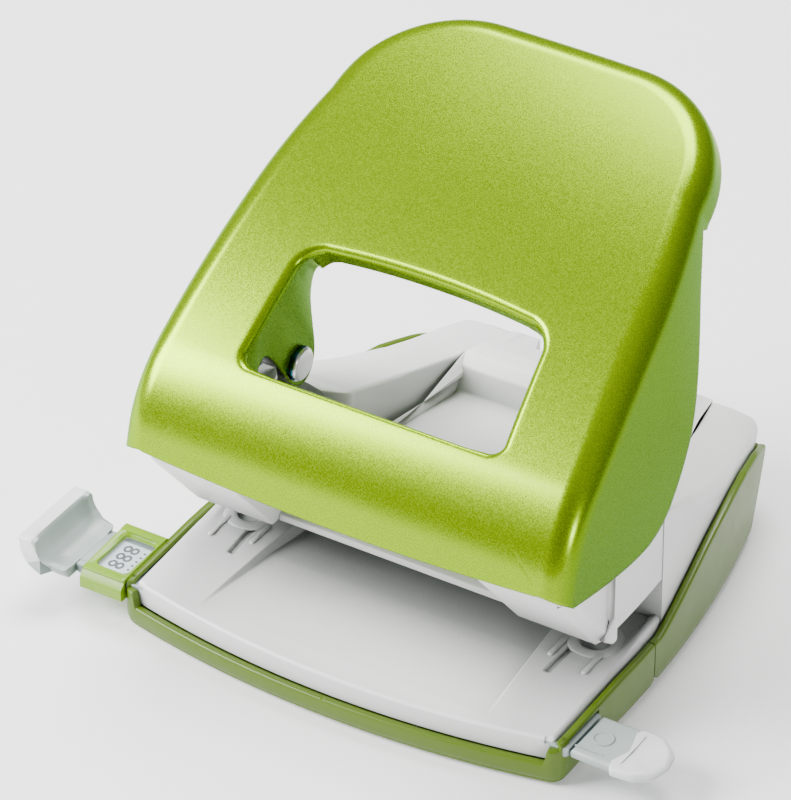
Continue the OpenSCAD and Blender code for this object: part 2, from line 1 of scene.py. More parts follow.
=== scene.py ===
"""Looks of a two-hole desk punch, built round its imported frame.

Lengths in this file are millimetres until a mesh is made, in the frame of the part: the origin is
on the desk midway between the punches, +X is the user's right, +Y the back and +Z up.
"""
import bmesh
import bpy
import numpy as np
from mathutils import Matrix, Vector


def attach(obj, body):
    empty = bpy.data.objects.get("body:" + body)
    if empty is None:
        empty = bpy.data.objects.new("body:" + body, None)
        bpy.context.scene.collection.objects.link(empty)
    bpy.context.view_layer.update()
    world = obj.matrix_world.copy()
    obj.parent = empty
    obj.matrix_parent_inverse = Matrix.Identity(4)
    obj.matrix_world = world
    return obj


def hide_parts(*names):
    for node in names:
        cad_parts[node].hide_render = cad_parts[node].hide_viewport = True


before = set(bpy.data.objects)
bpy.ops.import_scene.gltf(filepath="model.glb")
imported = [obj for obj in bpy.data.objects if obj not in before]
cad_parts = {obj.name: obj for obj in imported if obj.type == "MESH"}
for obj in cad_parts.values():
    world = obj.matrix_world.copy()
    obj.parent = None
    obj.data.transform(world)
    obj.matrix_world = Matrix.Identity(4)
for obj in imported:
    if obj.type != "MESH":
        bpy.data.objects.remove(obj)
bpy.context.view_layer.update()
MM = 0.001
FULL = 2


# ---- meshes

def smooth(a, b, x):
    """0 below a, 1 above b, and an even S-curve between."""
    t = np.clip((x - a) / (b - a), 0, 1)
    return t * t * (3 - 2 * t)


def unit(v):
    """v scaled to length one along its last axis."""
    return v / np.linalg.norm(v, axis=-1, keepdims=True)


def resample(line, count, weight=None):
    """count points along a polyline, evenly spaced by length, or by length times weight."""
    step = np.linalg.norm(np.diff(line, axis=0), axis=1)
    if weight is not None:
        step = step * weight
    at = np.concatenate([[0], np.cumsum(step)])
    want = np.linspace(0, at[-1], count)
    return np.stack([np.interp(want, at, line[:, k]) for k in range(line.shape[1])], 1)


def bezier(points, count):
    """A smooth curve through the points (Catmull-Rom), with count points evenly spaced."""
    p = np.asarray(points, float)
    p = np.vstack([2 * p[0] - p[1], p, 2 * p[-1] - p[-2]])
    t = np.linspace(0, 1, 24, endpoint=False)[:, None]
    rows = [0.5 * (2 * b + (c - a) * t + (2 * a - 5 * b + 4 * c - d) * t ** 2
                   + (3 * b - a - 3 * c + d) * t ** 3)
            for a, b, c, d in zip(p[:-3], p[1:-2], p[2:-1], p[3:])]
    return resample(np.vstack(rows + [p[-2:-1]]), count)


def rounded_rect(hx, hy, r, arc=8, side=6):
    """Closed outline of a rounded rectangle, from its right side, with the same count at any size."""
    r = min(r, hx * 0.999, hy * 0.999)
    out = []
    for k, (sx, sy) in enumerate([(1, 1), (-1, 1), (-1, -1), (1, -1)]):
        a = np.radians(90 * k + np.linspace(0, 90, arc))
        out.append(np.stack([sx * (hx - r) + r * np.cos(a), sy * (hy - r) + r * np.sin(a)], 1))
    loop = []
    for k in range(4):
        a, b = out[k][-1], out[(k + 1) % 4][0]
        t = np.linspace(0, 1, side + 2)[1:-1, None]
        loop += [out[k], a + (b - a) * t]
    return np.vstack(loop)


class Skin:
    """Vertices and faces gathered for one mesh."""

    def __init__(self):
        self.points, self.faces, self.count = [], [], 0

    def grid(self, p, wrap=False, flip=False):
        """A sheet of quads over p[row, column]; wrap joins the last column to the first."""
        n, m = p.shape[:2]
        index = np.arange(n * m).reshape(n, m) + self.count
        if wrap:
            index = np.hstack([index, index[:, :1]])
        quads = np.stack([index[:-1, :-1], index[:-1, 1:], index[1:, 1:], index[1:, :-1]], -1).reshape(-1, 4)
        self.faces += (quads[:, ::-1] if flip else quads).tolist()
        self.points.append(p.reshape(-1, 3))
        self.count += n * m
        return self

    def cap(self, ring, flip=False):
        """A fan from the middle of a closed ring of points."""
        n = len(ring)
        index = np.arange(n) + self.count
        tris = np.stack([index, np.roll(index, -1), np.full(n, self.count + n)], -1)
        self.faces += (tris[:, ::-1] if flip else tris).tolist()
        self.points += [ring, ring.mean(0, keepdims=True)]
        self.count += n + 1
        return self

    def tube(self, p):
        """A closed body: rings p[row] joined in order, with both ends capped."""
        return self.grid(p, wrap=True).cap(p[0], flip=True).cap(p[-1])

    def mirrored(self):
        """The same skin with its mirror image in the plane X = 0 added."""
        points = np.vstack(self.points)
        faces = self.faces
        self.points = [points, points * [-1, 1, 1]]
        self.faces = faces + [[i + self.count for i in reversed(f)] for f in faces]
        self.count *= 2
        return self


def build(name, skin, material, body, nodes=(), thick=0, sharp=38, closed=True):
    """Makes the object, closes its seams, turns its faces outward and hands it to its body."""
    mesh = bpy.data.meshes.new(name)
    mesh.from_pydata((np.vstack(skin.points) * MM).tolist(), [], skin.faces)
    bm = bmesh.new()
    bm.from_mesh(mesh)
    bmesh.ops.remove_doubles(bm, verts=bm.verts, dist=4e-6)
    bmesh.ops.dissolve_degenerate(bm, edges=bm.edges, dist=2e-6)
    if closed:
        bmesh.ops.recalc_face_normals(bm, faces=bm.faces)
    bm.to_mesh(mesh)
    bm.free()
    mesh.shade_smooth()
    mesh.set_sharp_from_angle(angle=np.radians(sharp))
    obj = bpy.data.objects.new(name, mesh)
    bpy.context.scene.collection.objects.link(obj)
    mesh.materials.append(material)
    if thick:
        solid = obj.modifiers.new("wall", "SOLIDIFY")
        solid.thickness = thick * MM
        solid.offset = -1
    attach(obj, body)
    if nodes:
        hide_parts(*nodes)
    return obj


def lathe(profile, centre, axis, steps=48):
    """Rings of a turned part: profile is [(along the axis, radius)], from one end to the other."""
    a = np.linspace(0, 2 * np.pi, steps, endpoint=False)
    rings = []
    for s, r in profile:
        ring = np.zeros((steps, 3))
        ring[:, axis] = s
        ring[:, (axis + 1) % 3] = r * np.cos(a)
        ring[:, (axis + 2) % 3] = r * np.sin(a)
        rings.append(ring + centre)
    return np.array(rings)


# ---- materials

class Sock:
    """A shader socket that takes part in arithmetic; each operation adds a Math node."""

    def __init__(self, tree, out):
        self.tree, self.out = tree, out

    def math(self, kind, *values):
        n = self.tree.nodes.new("ShaderNodeMath")
        n.operation = kind
        for socket, value in zip(n.inputs, (self, *values)):
            link(self.tree, socket, value)
        return Sock(self.tree, n.outputs[0])

    def __add__(self, o): return self.math("ADD", o)
    def __radd__(self, o): return self.math("ADD", o)
    def __sub__(self, o): return self.math("SUBTRACT", o)
    def __rsub__(self, o): return (self * -1).math("ADD", o)
    def __mul__(self, o): return self.math("MULTIPLY", o)
    def __rmul__(self, o): return self.math("MULTIPLY", o)
    def __truediv__(self, o): return self.math("DIVIDE", o)
    def ramp(self, a, b): return ((self - a) / (b - a)).math("MAXIMUM", 0).math("MINIMUM", 1)


def link(tree, socket, value):
    """Joins a socket to another one, or sets it to a plain value."""
    if isinstance(value, Sock):
        tree.links.new(value.out, socket)
    else:
        socket.default_value = value


class Finish:
    """A material being made: its tree, its Object coordinates and its Principled shader."""

    def __init__(self, name, **settings):
        self.material = bpy.data.materials.new(name + "_finish")
        self.material.use_nodes = True
        self.tree = self.material.node_tree
        self.shader = self.tree.nodes["Principled BSDF"]
        self.place = Sock(self.tree, self.tree.nodes.new("ShaderNodeTexCoord").outputs["Object"])
        for key, value in settings.items():
            self.set(key.replace("_", " "), value)

    def set(self, socket, value):
        link(self.tree, self.shader.inputs[socket], value)
        return self

    def node(self, kind, settings=(), out=0, **inputs):
        """Adds any node: its settings as a dict, its inputs by name, and one output to use."""
        n = self.tree.nodes.new(kind)
        for key, value in dict(settings).items():
            setattr(n, key, value)
        for key, value in inputs.items():
            link(self.tree, n.inputs[key.replace("_", " ")], value)
        return Sock(self.tree, n.outputs[out])

    def noise(self, scale, detail=2.0, rough=0.5):
        return self.node("ShaderNodeTexNoise", Vector=self.place, Scale=scale, Detail=detail, Roughness=rough)

    def mix(self, factor, a, b):
        """Colour a where factor is 0, and b where it is 1."""
        n = self.tree.nodes.new("ShaderNodeMix")
        n.data_type = "RGBA"
        link(self.tree, n.inputs[0], factor)
        link(self.tree, n.inputs[6], (*a, 1) if isinstance(a, tuple) else a)
        link(self.tree, n.inputs[7], (*b, 1) if isinstance(b, tuple) else b)
        return Sock(self.tree, n.outputs[2])

    def bump(self, height, strength, distance):
        return self.set("Normal", self.node("ShaderNodeBump", Height=height, Strength=strength,
                                            Distance=distance))


def paint():
    """Lime metallic paint: fine flake, a slow drift in tone, and painted shade: a deeper green where the
    surface faces to the sides.
    """
    f = Finish("lime_paint", Metallic=0.75, Coat_Weight=0.06, Coat_Roughness=0.10, Specular_IOR_Level=0.25,
               Specular_Tint=(0.42, 0.62, 0.03, 1))
    flake = f.node("ShaderNodeTexVoronoi", out=1, Vector=f.place, Scale=5200.0)
    spark = f.node("ShaderNodeSeparateColor", Color=flake)
    drift = f.noise(34.0)
    facing = Sock(f.tree, f.tree.nodes.new("ShaderNodeNewGeometry").outputs["Normal"])
    painted_side_shade = f.node("ShaderNodeSeparateXYZ", Vector=facing).math("ABSOLUTE").ramp(0.55, 0.95)
    front = f.mix(spark * 0.5 + drift * 0.5, (0.165, 0.300, 0.0), (0.255, 0.415, 0.0))
    # painted shade: a deeper green on faces turned to the sides darkens the side walls
    f.set("Base Color", f.mix(painted_side_shade * 0.8, front, (0.075, 0.165, 0.0)))
    f.set("Roughness", 0.22 + spark * 0.08)
    f.bump(spark * 0.3 + f.noise(1500.0) * 0.7, 0.06, 0.00004)
    return f.material


def mould(name, low, high, rough, grain=900.0, depth=0.12, hollow=None, **more):
    """A moulded plastic: fine grain, faint unevenness in tone and, when a hollow colour is given, painted
    shade: that darker colour deep in corners, where ambient occlusion finds them.
    """
    f = Finish(name, **more)
    colour = f.mix(f.noise(60.0, 3.0), low, high)
    if hollow:
        # painted shade: the colour darkens to the hollow colour where ambient occlusion finds corners and
        # recesses
        open_sky = f.node("ShaderNodeAmbientOcclusion", {"samples": 8}, out=1, Distance=0.028)
        colour = f.mix(open_sky.ramp(0.05, 0.85), hollow, colour)
    f.set("Base Color", colour)
    f.set("Roughness", rough - 0.06 + f.noise(220.0) * 0.12)
    f.bump(f.noise(grain, 3.0, 0.6), depth, 0.00008)
    return f.material


def metal(name, low, high, rough, stretch=(1.0, 1.0, 1.0), **more):
    """A metal with fine scratches that run across the direction it is stretched along."""
    f = Finish(name, Metallic=1.0, **more)
    spread = f.node("ShaderNodeMapping", Vector=f.place, Scale=stretch)
    line = f.node("ShaderNodeTexNoise", Vector=spread, Scale=900.0, Detail=3.0)
    f.set("Base Color", f.mix(line, low, high))
    f.set("Roughness", rough + line * 0.14)
    f.bump(line, 0.08, 0.00004)
    return f.material


LIME = paint()
GREEN = mould("green_mould", (0.066, 0.122, 0.0), (0.078, 0.140, 0.0), 0.34, IOR=1.42)
SLEEVE = mould("sleeve_green", (0.150, 0.290, 0.001), (0.180, 0.330, 0.002), 0.30)
# the white and frosted plastics below darken to a painted shade colour in their corners
WHITE = mould("white_mould", (0.70, 0.705, 0.695), (0.76, 0.765, 0.755), 0.40, depth=0.08,
              hollow=(0.15, 0.165, 0.155))
# two copies of one frosted plastic: the darker smoky one is the guide bar's own colour and, on the stop and
# latch, painted shade; the lighter one is their lit side
SMOKE_AND_SHADE = mould("frosted", (0.33, 0.385, 0.37), (0.38, 0.435, 0.42), 0.30, depth=0.06,
              hollow=(0.10, 0.15, 0.145))
LIT_FROSTED = mould("frosted", (0.66, 0.675, 0.665), (0.71, 0.725, 0.715), 0.34, depth=0.06,
            hollow=(0.2, 0.23, 0.22))
LABEL = mould("label", (0.50, 0.58, 0.64), (0.56, 0.63, 0.69), 0.30, depth=0.04)
INK = mould("numeral_ink", (0.012, 0.016, 0.02), (0.02, 0.026, 0.032), 0.40, depth=0.04)
LENS = mould("clear_lens", (0.86, 0.92, 0.94), (0.92, 0.96, 0.98), 0.08, depth=0.02, Alpha=0.05, IOR=1.2)
RUBBER = mould("rubber", (0.035, 0.036, 0.038), (0.05, 0.05, 0.052), 0.72, grain=1500.0, depth=0.3)
PLATED = metal("plated_steel", (0.50, 0.53, 0.56), (0.60, 0.62, 0.65), 0.24, (1.0, 0.12, 1.0))
CHROME = metal("turned_steel", (0.56, 0.56, 0.57), (0.66, 0.66, 0.66), 0.26)
TEAL = metal("tempered_rim", (0.01, 0.07, 0.10), (0.03, 0.16, 0.19), 0.16)
STEEL = metal("bare_steel", (0.46, 0.47, 0.48), (0.58, 0.59, 0.60), 0.28, (1.0, 1.0, 0.1))
BRASS = metal("brass", (0.58, 0.40, 0.14), (0.70, 0.50, 0.20), 0.30)
DARK = metal("dark_steel", (0.05, 0.055, 0.06), (0.09, 0.095, 0.10), 0.34)


# ---- lever

FOOT = np.array([-31.9, 43.5])
FOOT_HEADING, KNEE_HEADING = np.radians(75), np.radians(38.5)
KNEE_R, CROWN_R, LIFT = 32.0, 287.0, 4.0
KNEE_C = FOOT + [LIFT * np.cos(FOOT_HEADING) + KNEE_R * np.sin(FOOT_HEADING),
                 LIFT * np.sin(FOOT_HEADING) - KNEE_R * np.cos(FOOT_HEADING)]
CROWN_C = KNEE_C + (CROWN_R - KNEE_R) * np.array([np.sin(KNEE_HEADING), -np.cos(KNEE_HEADING)])
TILT = np.radians(33)
TOP_U, TOP_R, TOP_HW = 104.9, 26.0, 42.0
BEND, SHEET = 5.0, 1.2
HALF_W, LEAN_Z, LEAN_R = 50.3, 45.0, 176.0
EAR_X = 29.0


def face_distance(y, z):
    """Height above the lever's face: two arcs in side view, and a straight piece at the foot."""
    knee = np.arctan2(KNEE_C[0] - y, z - KNEE_C[1])
    low = -(y - FOOT[0]) * np.sin(FOOT_HEADING) + (z - FOOT[1]) * np.cos(FOOT_HEADING)
    mid = np.hypot(y - KNEE_C[0], z - KNEE_C[1]) - KNEE_R
    top = np.hypot(y - CROWN_C[0], z - CROWN_C[1]) - CROWN_R
    return np.where(knee > FOOT_HEADING, low, np.where(knee > KNEE_HEADING, mid, top))


def lean(z):
    """Half width of the lever at height z: its sides lean in on an arc."""
    rise = np.clip(z - LEAN_Z, 0, 150)
    return HALF_W - LEAN_R + np.sqrt(LEAN_R ** 2 - rise ** 2)


def hood_field(p):
    """Below 0 inside the lever's outer skin: face, sides and top outline joined by a round bend."""
    x, y, z = np.abs(p[..., 0]), p[..., 1], p[..., 2]
    u = y * np.cos(TILT) + z * np.sin(TILT)
    up = u - (TOP_U - TOP_R)
    crown = 0.9 * (x / TOP_HW) ** 2
    corner = np.hypot(np.maximum(x - TOP_HW + TOP_R, 0), np.maximum(up + crown, 0)) - TOP_R
    edge = np.where(up > 0, corner, x - TOP_HW + 0.286 * up)
    side = x - lean(z)
    k = np.clip(2.5 - np.abs(side - edge), 0, None)
    side = np.maximum(side, edge) + k * k / 10
    a, b = face_distance(y, z) + BEND, side + BEND
    return np.minimum(np.maximum(a, b), 0) + np.hypot(np.maximum(a, 0), np.maximum(b, 0)) - BEND


def settle(base, way):
    """The point on the outer skin from each base point along its way, by bisection."""
    low, high = np.zeros(base.shape[:-1]), np.full(base.shape[:-1], 80.0)
    for _ in range(34):
        mid = (low + high) / 2
        inside = hood_field(base + way * mid[..., None]) < 0
        low, high = np.where(inside, mid, low), np.where(inside, high, mid)
    return base + way * low[..., None]


HEADINGS = np.radians(np.linspace(75, 16, 500))
ARC = np.array([KNEE_C + KNEE_R * np.array([-np.sin(h), np.cos(h)]) if h > KNEE_HEADING
                else CROWN_C + CROWN_R * np.array([-np.sin(h), np.cos(h)]) for h in HEADINGS])
DOWN = ARC[0] - np.outer(np.linspace(8, 0.01, 40), [np.cos(FOOT_HEADING), np.sin(FOOT_HEADING)])
FACE_LINE = np.vstack([DOWN, ARC])
FACE_H = np.concatenate([np.full(40, FOOT_HEADING), HEADINGS])
FACE_U = FACE_LINE @ [np.cos(TILT), np.sin(TILT)]


def on_face(x, u):
    """Point of the face, and its normal, at half-width x and at u along the face."""
    y, z, h = (np.interp(u, FACE_U, v) for v in (FACE_LINE[:, 0], FACE_LINE[:, 1], FACE_H))
    zero = np.zeros_like(h)
    return np.stack([x + zero, y, z], -1), np.stack([zero, -np.sin(h), np.cos(h)], -1)


def foot_u(x):
    """Lower edge of the face: it bows down in the middle."""
    return -3.75 + 1.35 * (x / 47) ** 2


def window_half(count):
    """Right half of the window's outline on the face, from bottom middle to top middle, as (x, u)."""
    arc = np.radians(np.linspace(-90, -3, 12))
    low = np.stack([26.7 + 4.0 * np.cos(arc), 20.6 + 4.0 * np.sin(arc)], 1)
    arc = np.radians(np.linspace(3, 76, 16))
    high = np.stack([21.7 + 7.6 * np.cos(arc), 39.2 + 7.6 * np.sin(arc)], 1)
    top = np.array([[x, 48.05 - 1.35 * (x / 22) ** 2] for x in np.linspace(20.5, 0, 12)])
    bottom = np.array([[0, 16.6], [13, 16.6]])
    return resample(np.vstack([bottom, low, high, top]), count)


HEM = bezier([[-27.4, 40.85], [-17.6, 38.9], [-9, 37.7], [-2, 37.3], [3.5, 38.0], [8.6, 40.9], [13.2, 46.6],
              [17.4, 53.6], [21.2, 62], [24.6, 70.6], [28.2, 79.5], [33.4, 89.6]], 400)
EAR = bezier([[-18.9, 60.4], [-23.2, 54], [-24.6, 49], [-24.4, 44.6], [-21.5, 42.2], [-18.2, 44], [-16.6, 48],
              [-14.6, 55.5], [-13.2, 59.3], [-11.2, 60.2], [-9.2, 58.9], [-6.9, 56.1], [-3.9, 51.7],
              [-1.2, 47.8], [1.4, 46.0], [4.4, 46.6], [6.3, 49.5], [6.7, 53], [6.2, 57.5], [5.6, 62.5],
              [5.6, 66.2], [6.6, 69.2], [8.6, 71.4]], 400)


def gather(line, count):
    """A column resampled to count points, which gather where it bends."""
    heading = unit(np.diff(line, axis=0) + 1e-9)
    bend = np.linalg.norm(np.diff(heading, axis=0), axis=1)
    bend = np.convolve(np.concatenate([bend, bend[-1:]]), np.ones(9) / 9, "same")
    step = np.linalg.norm(np.diff(line, axis=0), axis=1)
    return resample(line, count, 1 + 9 * np.clip(bend / (step + 1e-6), 0, 0.25))


def rim_rows(wx, wu, where, stops):
    """Rows from the ear's edge, or the flange's, up to the window's rim and over its small radius.

    The rim's points are at (wx, wu) on the face, and where is their distance along the outline.
    """
    rim, up = on_face(wx, wu)
    run = np.gradient(np.stack([wx, wu], 1), axis=0)
    run[0], run[-1] = [1, 0], [-1, 0]
    inward = unit(np.stack([-run[:, 1], run[:, 0]], 1))
    along = np.stack([np.zeros(len(wx)), up[:, 2], -up[:, 1]], 1)
    inward = inward[:, :1] * np.array([1.0, 0, 0]) + inward[:, 1:] * along
    r = np.interp(where, [0, 22, 30, 36, stops[4], stops[5]], [0.9, 0.9, 1.6, 1.75, 1.75, 1.9])[:, None]
    roll = [rim + inward * r * np.sin(b) + up * r * (np.cos(b) - 1)
            for b in np.radians(np.linspace(90, 0, 5 * FULL + 1))]
    start = roll[0]
    ear_at = np.interp(where, [29.5, 33.5, 36, 50, 57.0], [0, 90, 160, 330, 399])
    ear = np.stack([np.interp(ear_at, np.arange(400), EAR[:, k]) for k in (0, 1)], 1)
    ear3 = np.column_stack([np.full(len(wx), EAR_X), ear])
    short = start - up * np.interp(where, [0, 24, 29, 57.0, 64], [0.5, 0.5, 2.5, 6.0, 2.4])[:, None]
    share = (smooth(29.2, 30.2, where) * (1 - smooth(55.5, 58.5, where)))[:, None]
    end = short + (ear3 - short) * share
    drop = [start + (end - start) * f for f in np.linspace(1, 0, 12 * FULL, endpoint=False)]
    return np.concatenate([np.array(drop), np.array(roll[:-1])], 0)


def lever_half():
    """Right half of the lever as rows from the ear's edge through window rim, face and bend to the hem.

    Each column starts on the window's outline. It crosses the face in a straight line, turns over
    the bend by swinging its search direction from the face's normal to the side's, and ends on the
    hem. Columns that leave through the foot stop on the face. Inside the window the sheet rolls over
    a small radius and drops as an ear at the sides, and as a short flange at the top.
    """
    side_end, top_start = 0.46, 0.76
    na, nb, nc = 30 * FULL, 9 * FULL, 80 * FULL
    n = na + nb + nc
    # a column leaves through the foot (0), the heel (1), or the side and top (2)
    kind = np.concatenate([np.zeros(na), np.ones(nb), np.full(nc, 2)])
    t = np.concatenate([np.linspace(0, 1, na, endpoint=False), np.linspace(0, 1, nb, endpoint=False),
                        np.linspace(0, 1, nc)])
    # inner edge
    w = window_half(1200)
    length = np.concatenate([[0], np.cumsum(np.linalg.norm(np.diff(w, axis=0), axis=1))])
    stops = np.array([0, 26.0, 32.0, 51.5, 61.0, length[-1]])
    where = np.where(kind == 0, t * stops[1], np.where(kind == 1, stops[1] + t * (stops[2] - stops[1]),
                     np.interp(t, [0, 0.40, 0.72, 1], stops[2:])))
    wx, wu = np.interp(where, length, w[:, 0]), np.interp(where, length, w[:, 1])
    # outline that the columns head for, set in from the skin by a little more than the bend
    ins = BEND + 0.25
    u_side = np.interp(t, [0, side_end], [foot_u(47.0) + 4, TOP_U - TOP_R])
    ang = np.radians(np.interp(t, [side_end, top_start], [0, 90]))
    z_side = on_face(np.zeros(n), u_side)[0][:, 2]
    cx = TOP_HW - TOP_R
    qx = np.where(t <= side_end, lean(z_side) - ins, cx + (TOP_R - ins) * np.cos(ang))
    top_x = np.interp(t, [top_start, 1], [cx, 0])
    qx = np.where(t > top_start, top_x, qx)
    qu = np.where(t <= side_end, u_side, TOP_U - TOP_R + (TOP_R - ins) * np.sin(ang))
    qu = qu - np.where(t > side_end, 0.9 * (qx / TOP_HW) ** 2, 0)
    way = np.where((t <= side_end)[:, None], [1.0, 0, 0], np.stack(
        [np.cos(ang), np.sin(ang) * np.cos(TILT), np.sin(ang) * np.sin(TILT)], 1))
    flat = kind < 2
    foot_q = HALF_W - ins
    qx = np.where(kind == 0, t * foot_q, np.where(kind == 1, foot_q, qx))
    qu = np.where(flat, foot_u(np.minimum(qx, 47)) + np.where(kind == 1, 4 * t, 0), qu)
    way = np.where(flat[:, None], [1.0, 0, 0], way)
    q, normal = on_face(qx, qu)
    centre = q - normal * ins
    # target on the hem
    hem_at = np.interp(t, [0, side_end], [0, 1]) * (len(HEM) - 1)
    hem = np.stack([np.interp(hem_at, np.arange(len(HEM)), HEM[:, k]) for k in (0, 1)], 1)
    lip = centre - normal * 4.0
    to_hem = ((kind == 2) & (t <= side_end))[:, None]
    goal = np.where(to_hem, np.stack([centre[:, 0], hem[:, 0], hem[:, 1]], 1), lip)
    corner = np.array([foot_q, HEM[0, 0], HEM[0, 1]])
    heel, heel_normal = on_face(foot_q, foot_u(47.0))
    heel = heel - heel_normal * ins
    swing = np.where(kind == 0, 0, np.where(kind == 1, t, 1)) * np.pi / 2
    goal = np.where((kind == 1)[:, None], heel + (corner - heel) * (t ** 1.5)[:, None], goal)
    # each column: straight over the face, then round the bend and down to its goal
    columns = []
    tau = np.linspace(0, 1, 260)
    s = np.linspace(0, 1, 60)
    for i in range(n):
        face, _ = on_face(wx[i] + (qx[i] - wx[i]) * s, wu[i] + (qu[i] - wu[i]) * s)
        if kind[i] == 0:
            columns.append(face)
            continue
        turn = swing[i] * np.clip(tau / 0.35, 0, 1)[:, None]
        aim = normal[i] * np.cos(turn) + way[i] * np.sin(turn)
        drift = (np.clip((tau - 0.12) / 0.88, 0, 1) ** 1.6)[:, None]
        outer = settle(centre[i] + (goal[i] - centre[i]) * drift, aim)
        columns.append(np.vstack([face[:-1], outer]))
    outside = np.array([gather(line, 44 * FULL) for line in columns]).transpose(1, 0, 2)
    return np.concatenate([rim_rows(wx, wu, where, stops), outside], 0)


def lever():
    """The lever: both halves of the pressed sheet, thickened inward."""
    half = lever_half()
    both = np.concatenate([half, (half * [-1, 1, 1])[:, -2:0:-1]], 1)
    skin = Skin().grid(both, wrap=True, flip=True)
    build("lever", skin, LIME, "handle", ["handle_shell"], thick=SHEET, closed=False, sharp=60)


# ---- shapes for the base

HALF, BOW, SIDE, REAR = 50.4, 211.0, 253.0, 380.0
FRONT, CORNER = -37.4, 3.0
DIE_X = 40.0


def fillet(points, radii, arc=5):
    """A closed outline with each corner rounded to its radius; 0 leaves it sharp."""
    p = np.asarray(points, float)
    radii = np.broadcast_to(radii, len(p))
    out = []
    for a, b, c, r in zip(np.roll(p, 1, 0), p, np.roll(p, -1, 0), radii):
        if r <= 0:
            out.append(b[None])
            continue
        u, v = unit(a - b), unit(c - b)
        half = np.arccos(np.clip(u @ v, -1, 1)) / 2
        cut = min(r / np.tan(half), 0.45 * min(np.linalg.norm(a - b), np.linalg.norm(c - b)))
        t = np.linspace(0, 1, arc)[:, None]
        s, e = b + u * cut, b + v * cut
        out.append((1 - t) ** 2 * s + 2 * t * (1 - t) * (b * 0.72 + (s + e) * 0.14) + t ** 2 * e)
    return np.vstack(out)


def side_x(y):
    """Half width of the base at y: straight to y = -5, then curving in to the back."""
    return HALF - SIDE + np.sqrt(SIDE ** 2 - np.maximum(y + 5, 0) ** 2)


def front_y(x, inset):
    """Where the bowed front, set in by inset, lies at half width x."""
    return FRONT + BOW - np.sqrt((BOW - inset) ** 2 - x ** 2)


def front_plan(t, inset, y_end):
    """Points of the base's plan for t in 0..1: front middle, bow (to .45), corner (to .6), side."""
    cx, bow_y = HALF - CORNER, FRONT + BOW
    cy = front_y(cx, CORNER)
    start = np.arctan2(cy - bow_y, cx)
    a = np.interp(t, [0, 0.45], [-np.pi / 2, start])
    b = np.interp(t, [0.45, 0.6], [start, 0])
    y = np.interp(t, [0.6, 1], [cy, y_end])
    bow = np.stack([(BOW - inset) * np.cos(a), bow_y + (BOW - inset) * np.sin(a)], -1)
    turn = np.stack([cx + (CORNER - inset) * np.cos(b), cy + (CORNER - inset) * np.sin(b)], -1)
    side = np.stack([side_x(y) - inset, y], -1)
    return np.where((t < 0.45)[:, None], bow, np.where((t < 0.6)[:, None], turn, side))


def rear_plan(t, inset, z, y_front):
    """Points of the tray's plan at heights z: rear middle, bow (to .4), corner (to .55), side."""
    back = 62 + 0.802 * (z - 0.8) - inset
    r = 3.2 - inset
    cx, cy = 40.0 + 0 * z, back - 5
    for _ in range(6):
        cx = side_x(cy + 0.28 * r) - inset - 0.958 * r
        cy = back - (cx + 0.1 * r) ** 2 / (2 * REAR) - 0.995 * r
    x = np.interp(t, [0, 0.4], [0, 1]) * (cx + 0.1 * r)
    rear = np.stack([x, back - x ** 2 / (2 * REAR)], -1)
    a = np.radians(np.interp(t, [0.4, 0.55], [84.2, 16.4]))
    turn = np.stack([cx + r * np.cos(a), cy + r * np.sin(a)], -1)
    s = np.interp(t, [0.55, 1], [0, 1])
    y = (cy + 0.28 * r) * (1 - s) + y_front * s
    side = np.stack([side_x(y) - inset, y], -1)
    return np.where((t < 0.4)[:, None], rear, np.where((t < 0.55)[:, None], turn, side))


def wall(skin, plan, section, low, high):
    """A wall along a plan: section is [(inset, height above low or, if negative or 0, below high)]."""
    rows = []
    for inset, h in section:
        z = high + h if h <= 0 else low + h + 0 * high
        rows.append(np.concatenate([plan(inset, z), z[:, None]], 1))
    return skin.tube(np.array(rows).transpose(1, 0, 2))


def plate(skin, ring, z0, z1, round_off=0.25):
    """A flat plate with softened edges from a plan outline running anticlockwise."""
    middle = ring.mean(0)
    rows = []
    for z, d in [(z0, 1), (z0 + round_off, 0), (z1 - round_off, 0), (z1 - round_off * 0.3, 0.3), (z1, 1)]:
        shrunk = ring + unit(middle - ring) * d * round_off
        rows.append(np.concatenate([shrunk, np.full((len(ring), 1), z)], 1))
    return skin.tube(np.array(rows))


def sweep_x(skin, outline, xs, push=None):
    """A closed (y, z) outline carried along the x stations."""
    rings = np.array([np.column_stack([np.full(len(outline), x), outline]) for x in xs])
    if push is not None:
        rings = push(rings)
    return skin.tube(rings)


def full_ring(half):
    """Whole outline from its right half, whose first point is on the middle plane."""
    return np.vstack([half, (half * [-1, 1])[:0:-1]])


# ---- base, tray and table

# Sections of a wall as (inset, height); a height of 0 or less hangs from the wall's top.
EDGE = [(1.3, 0.02), (0.5, 0.5), (0.06, 1.5), (0, -0.9), (0.02, -0.42), (0.16, -0.14), (0.42, 0), (1.35, 0),
        (1.62, -0.14), (1.8, -0.5), (1.8, 1.2)]
UNDER_SLOT = EDGE[:3] + [(0, -0.3), (0.1, 0), (1.7, 0), (1.8, -0.3), (1.8, 1.2)]
OVER_SLOT = [(0.1, 0.01), (0, 0.15), (0, -0.42), (0.16, -0.14), (0.42, 0), (1.35, 0), (1.62, -0.14),
             (1.8, -0.5), (1.8, 0.1)]
LOW, FLOOR_TOP, RIM, FRONT_RIM = 0.8, 2.2, 11.0, 5.3
SLOT_Y, SLOT_Z = (-30.5, -16.7), (6.85, 9.65)
SEAM_Y = 5.4


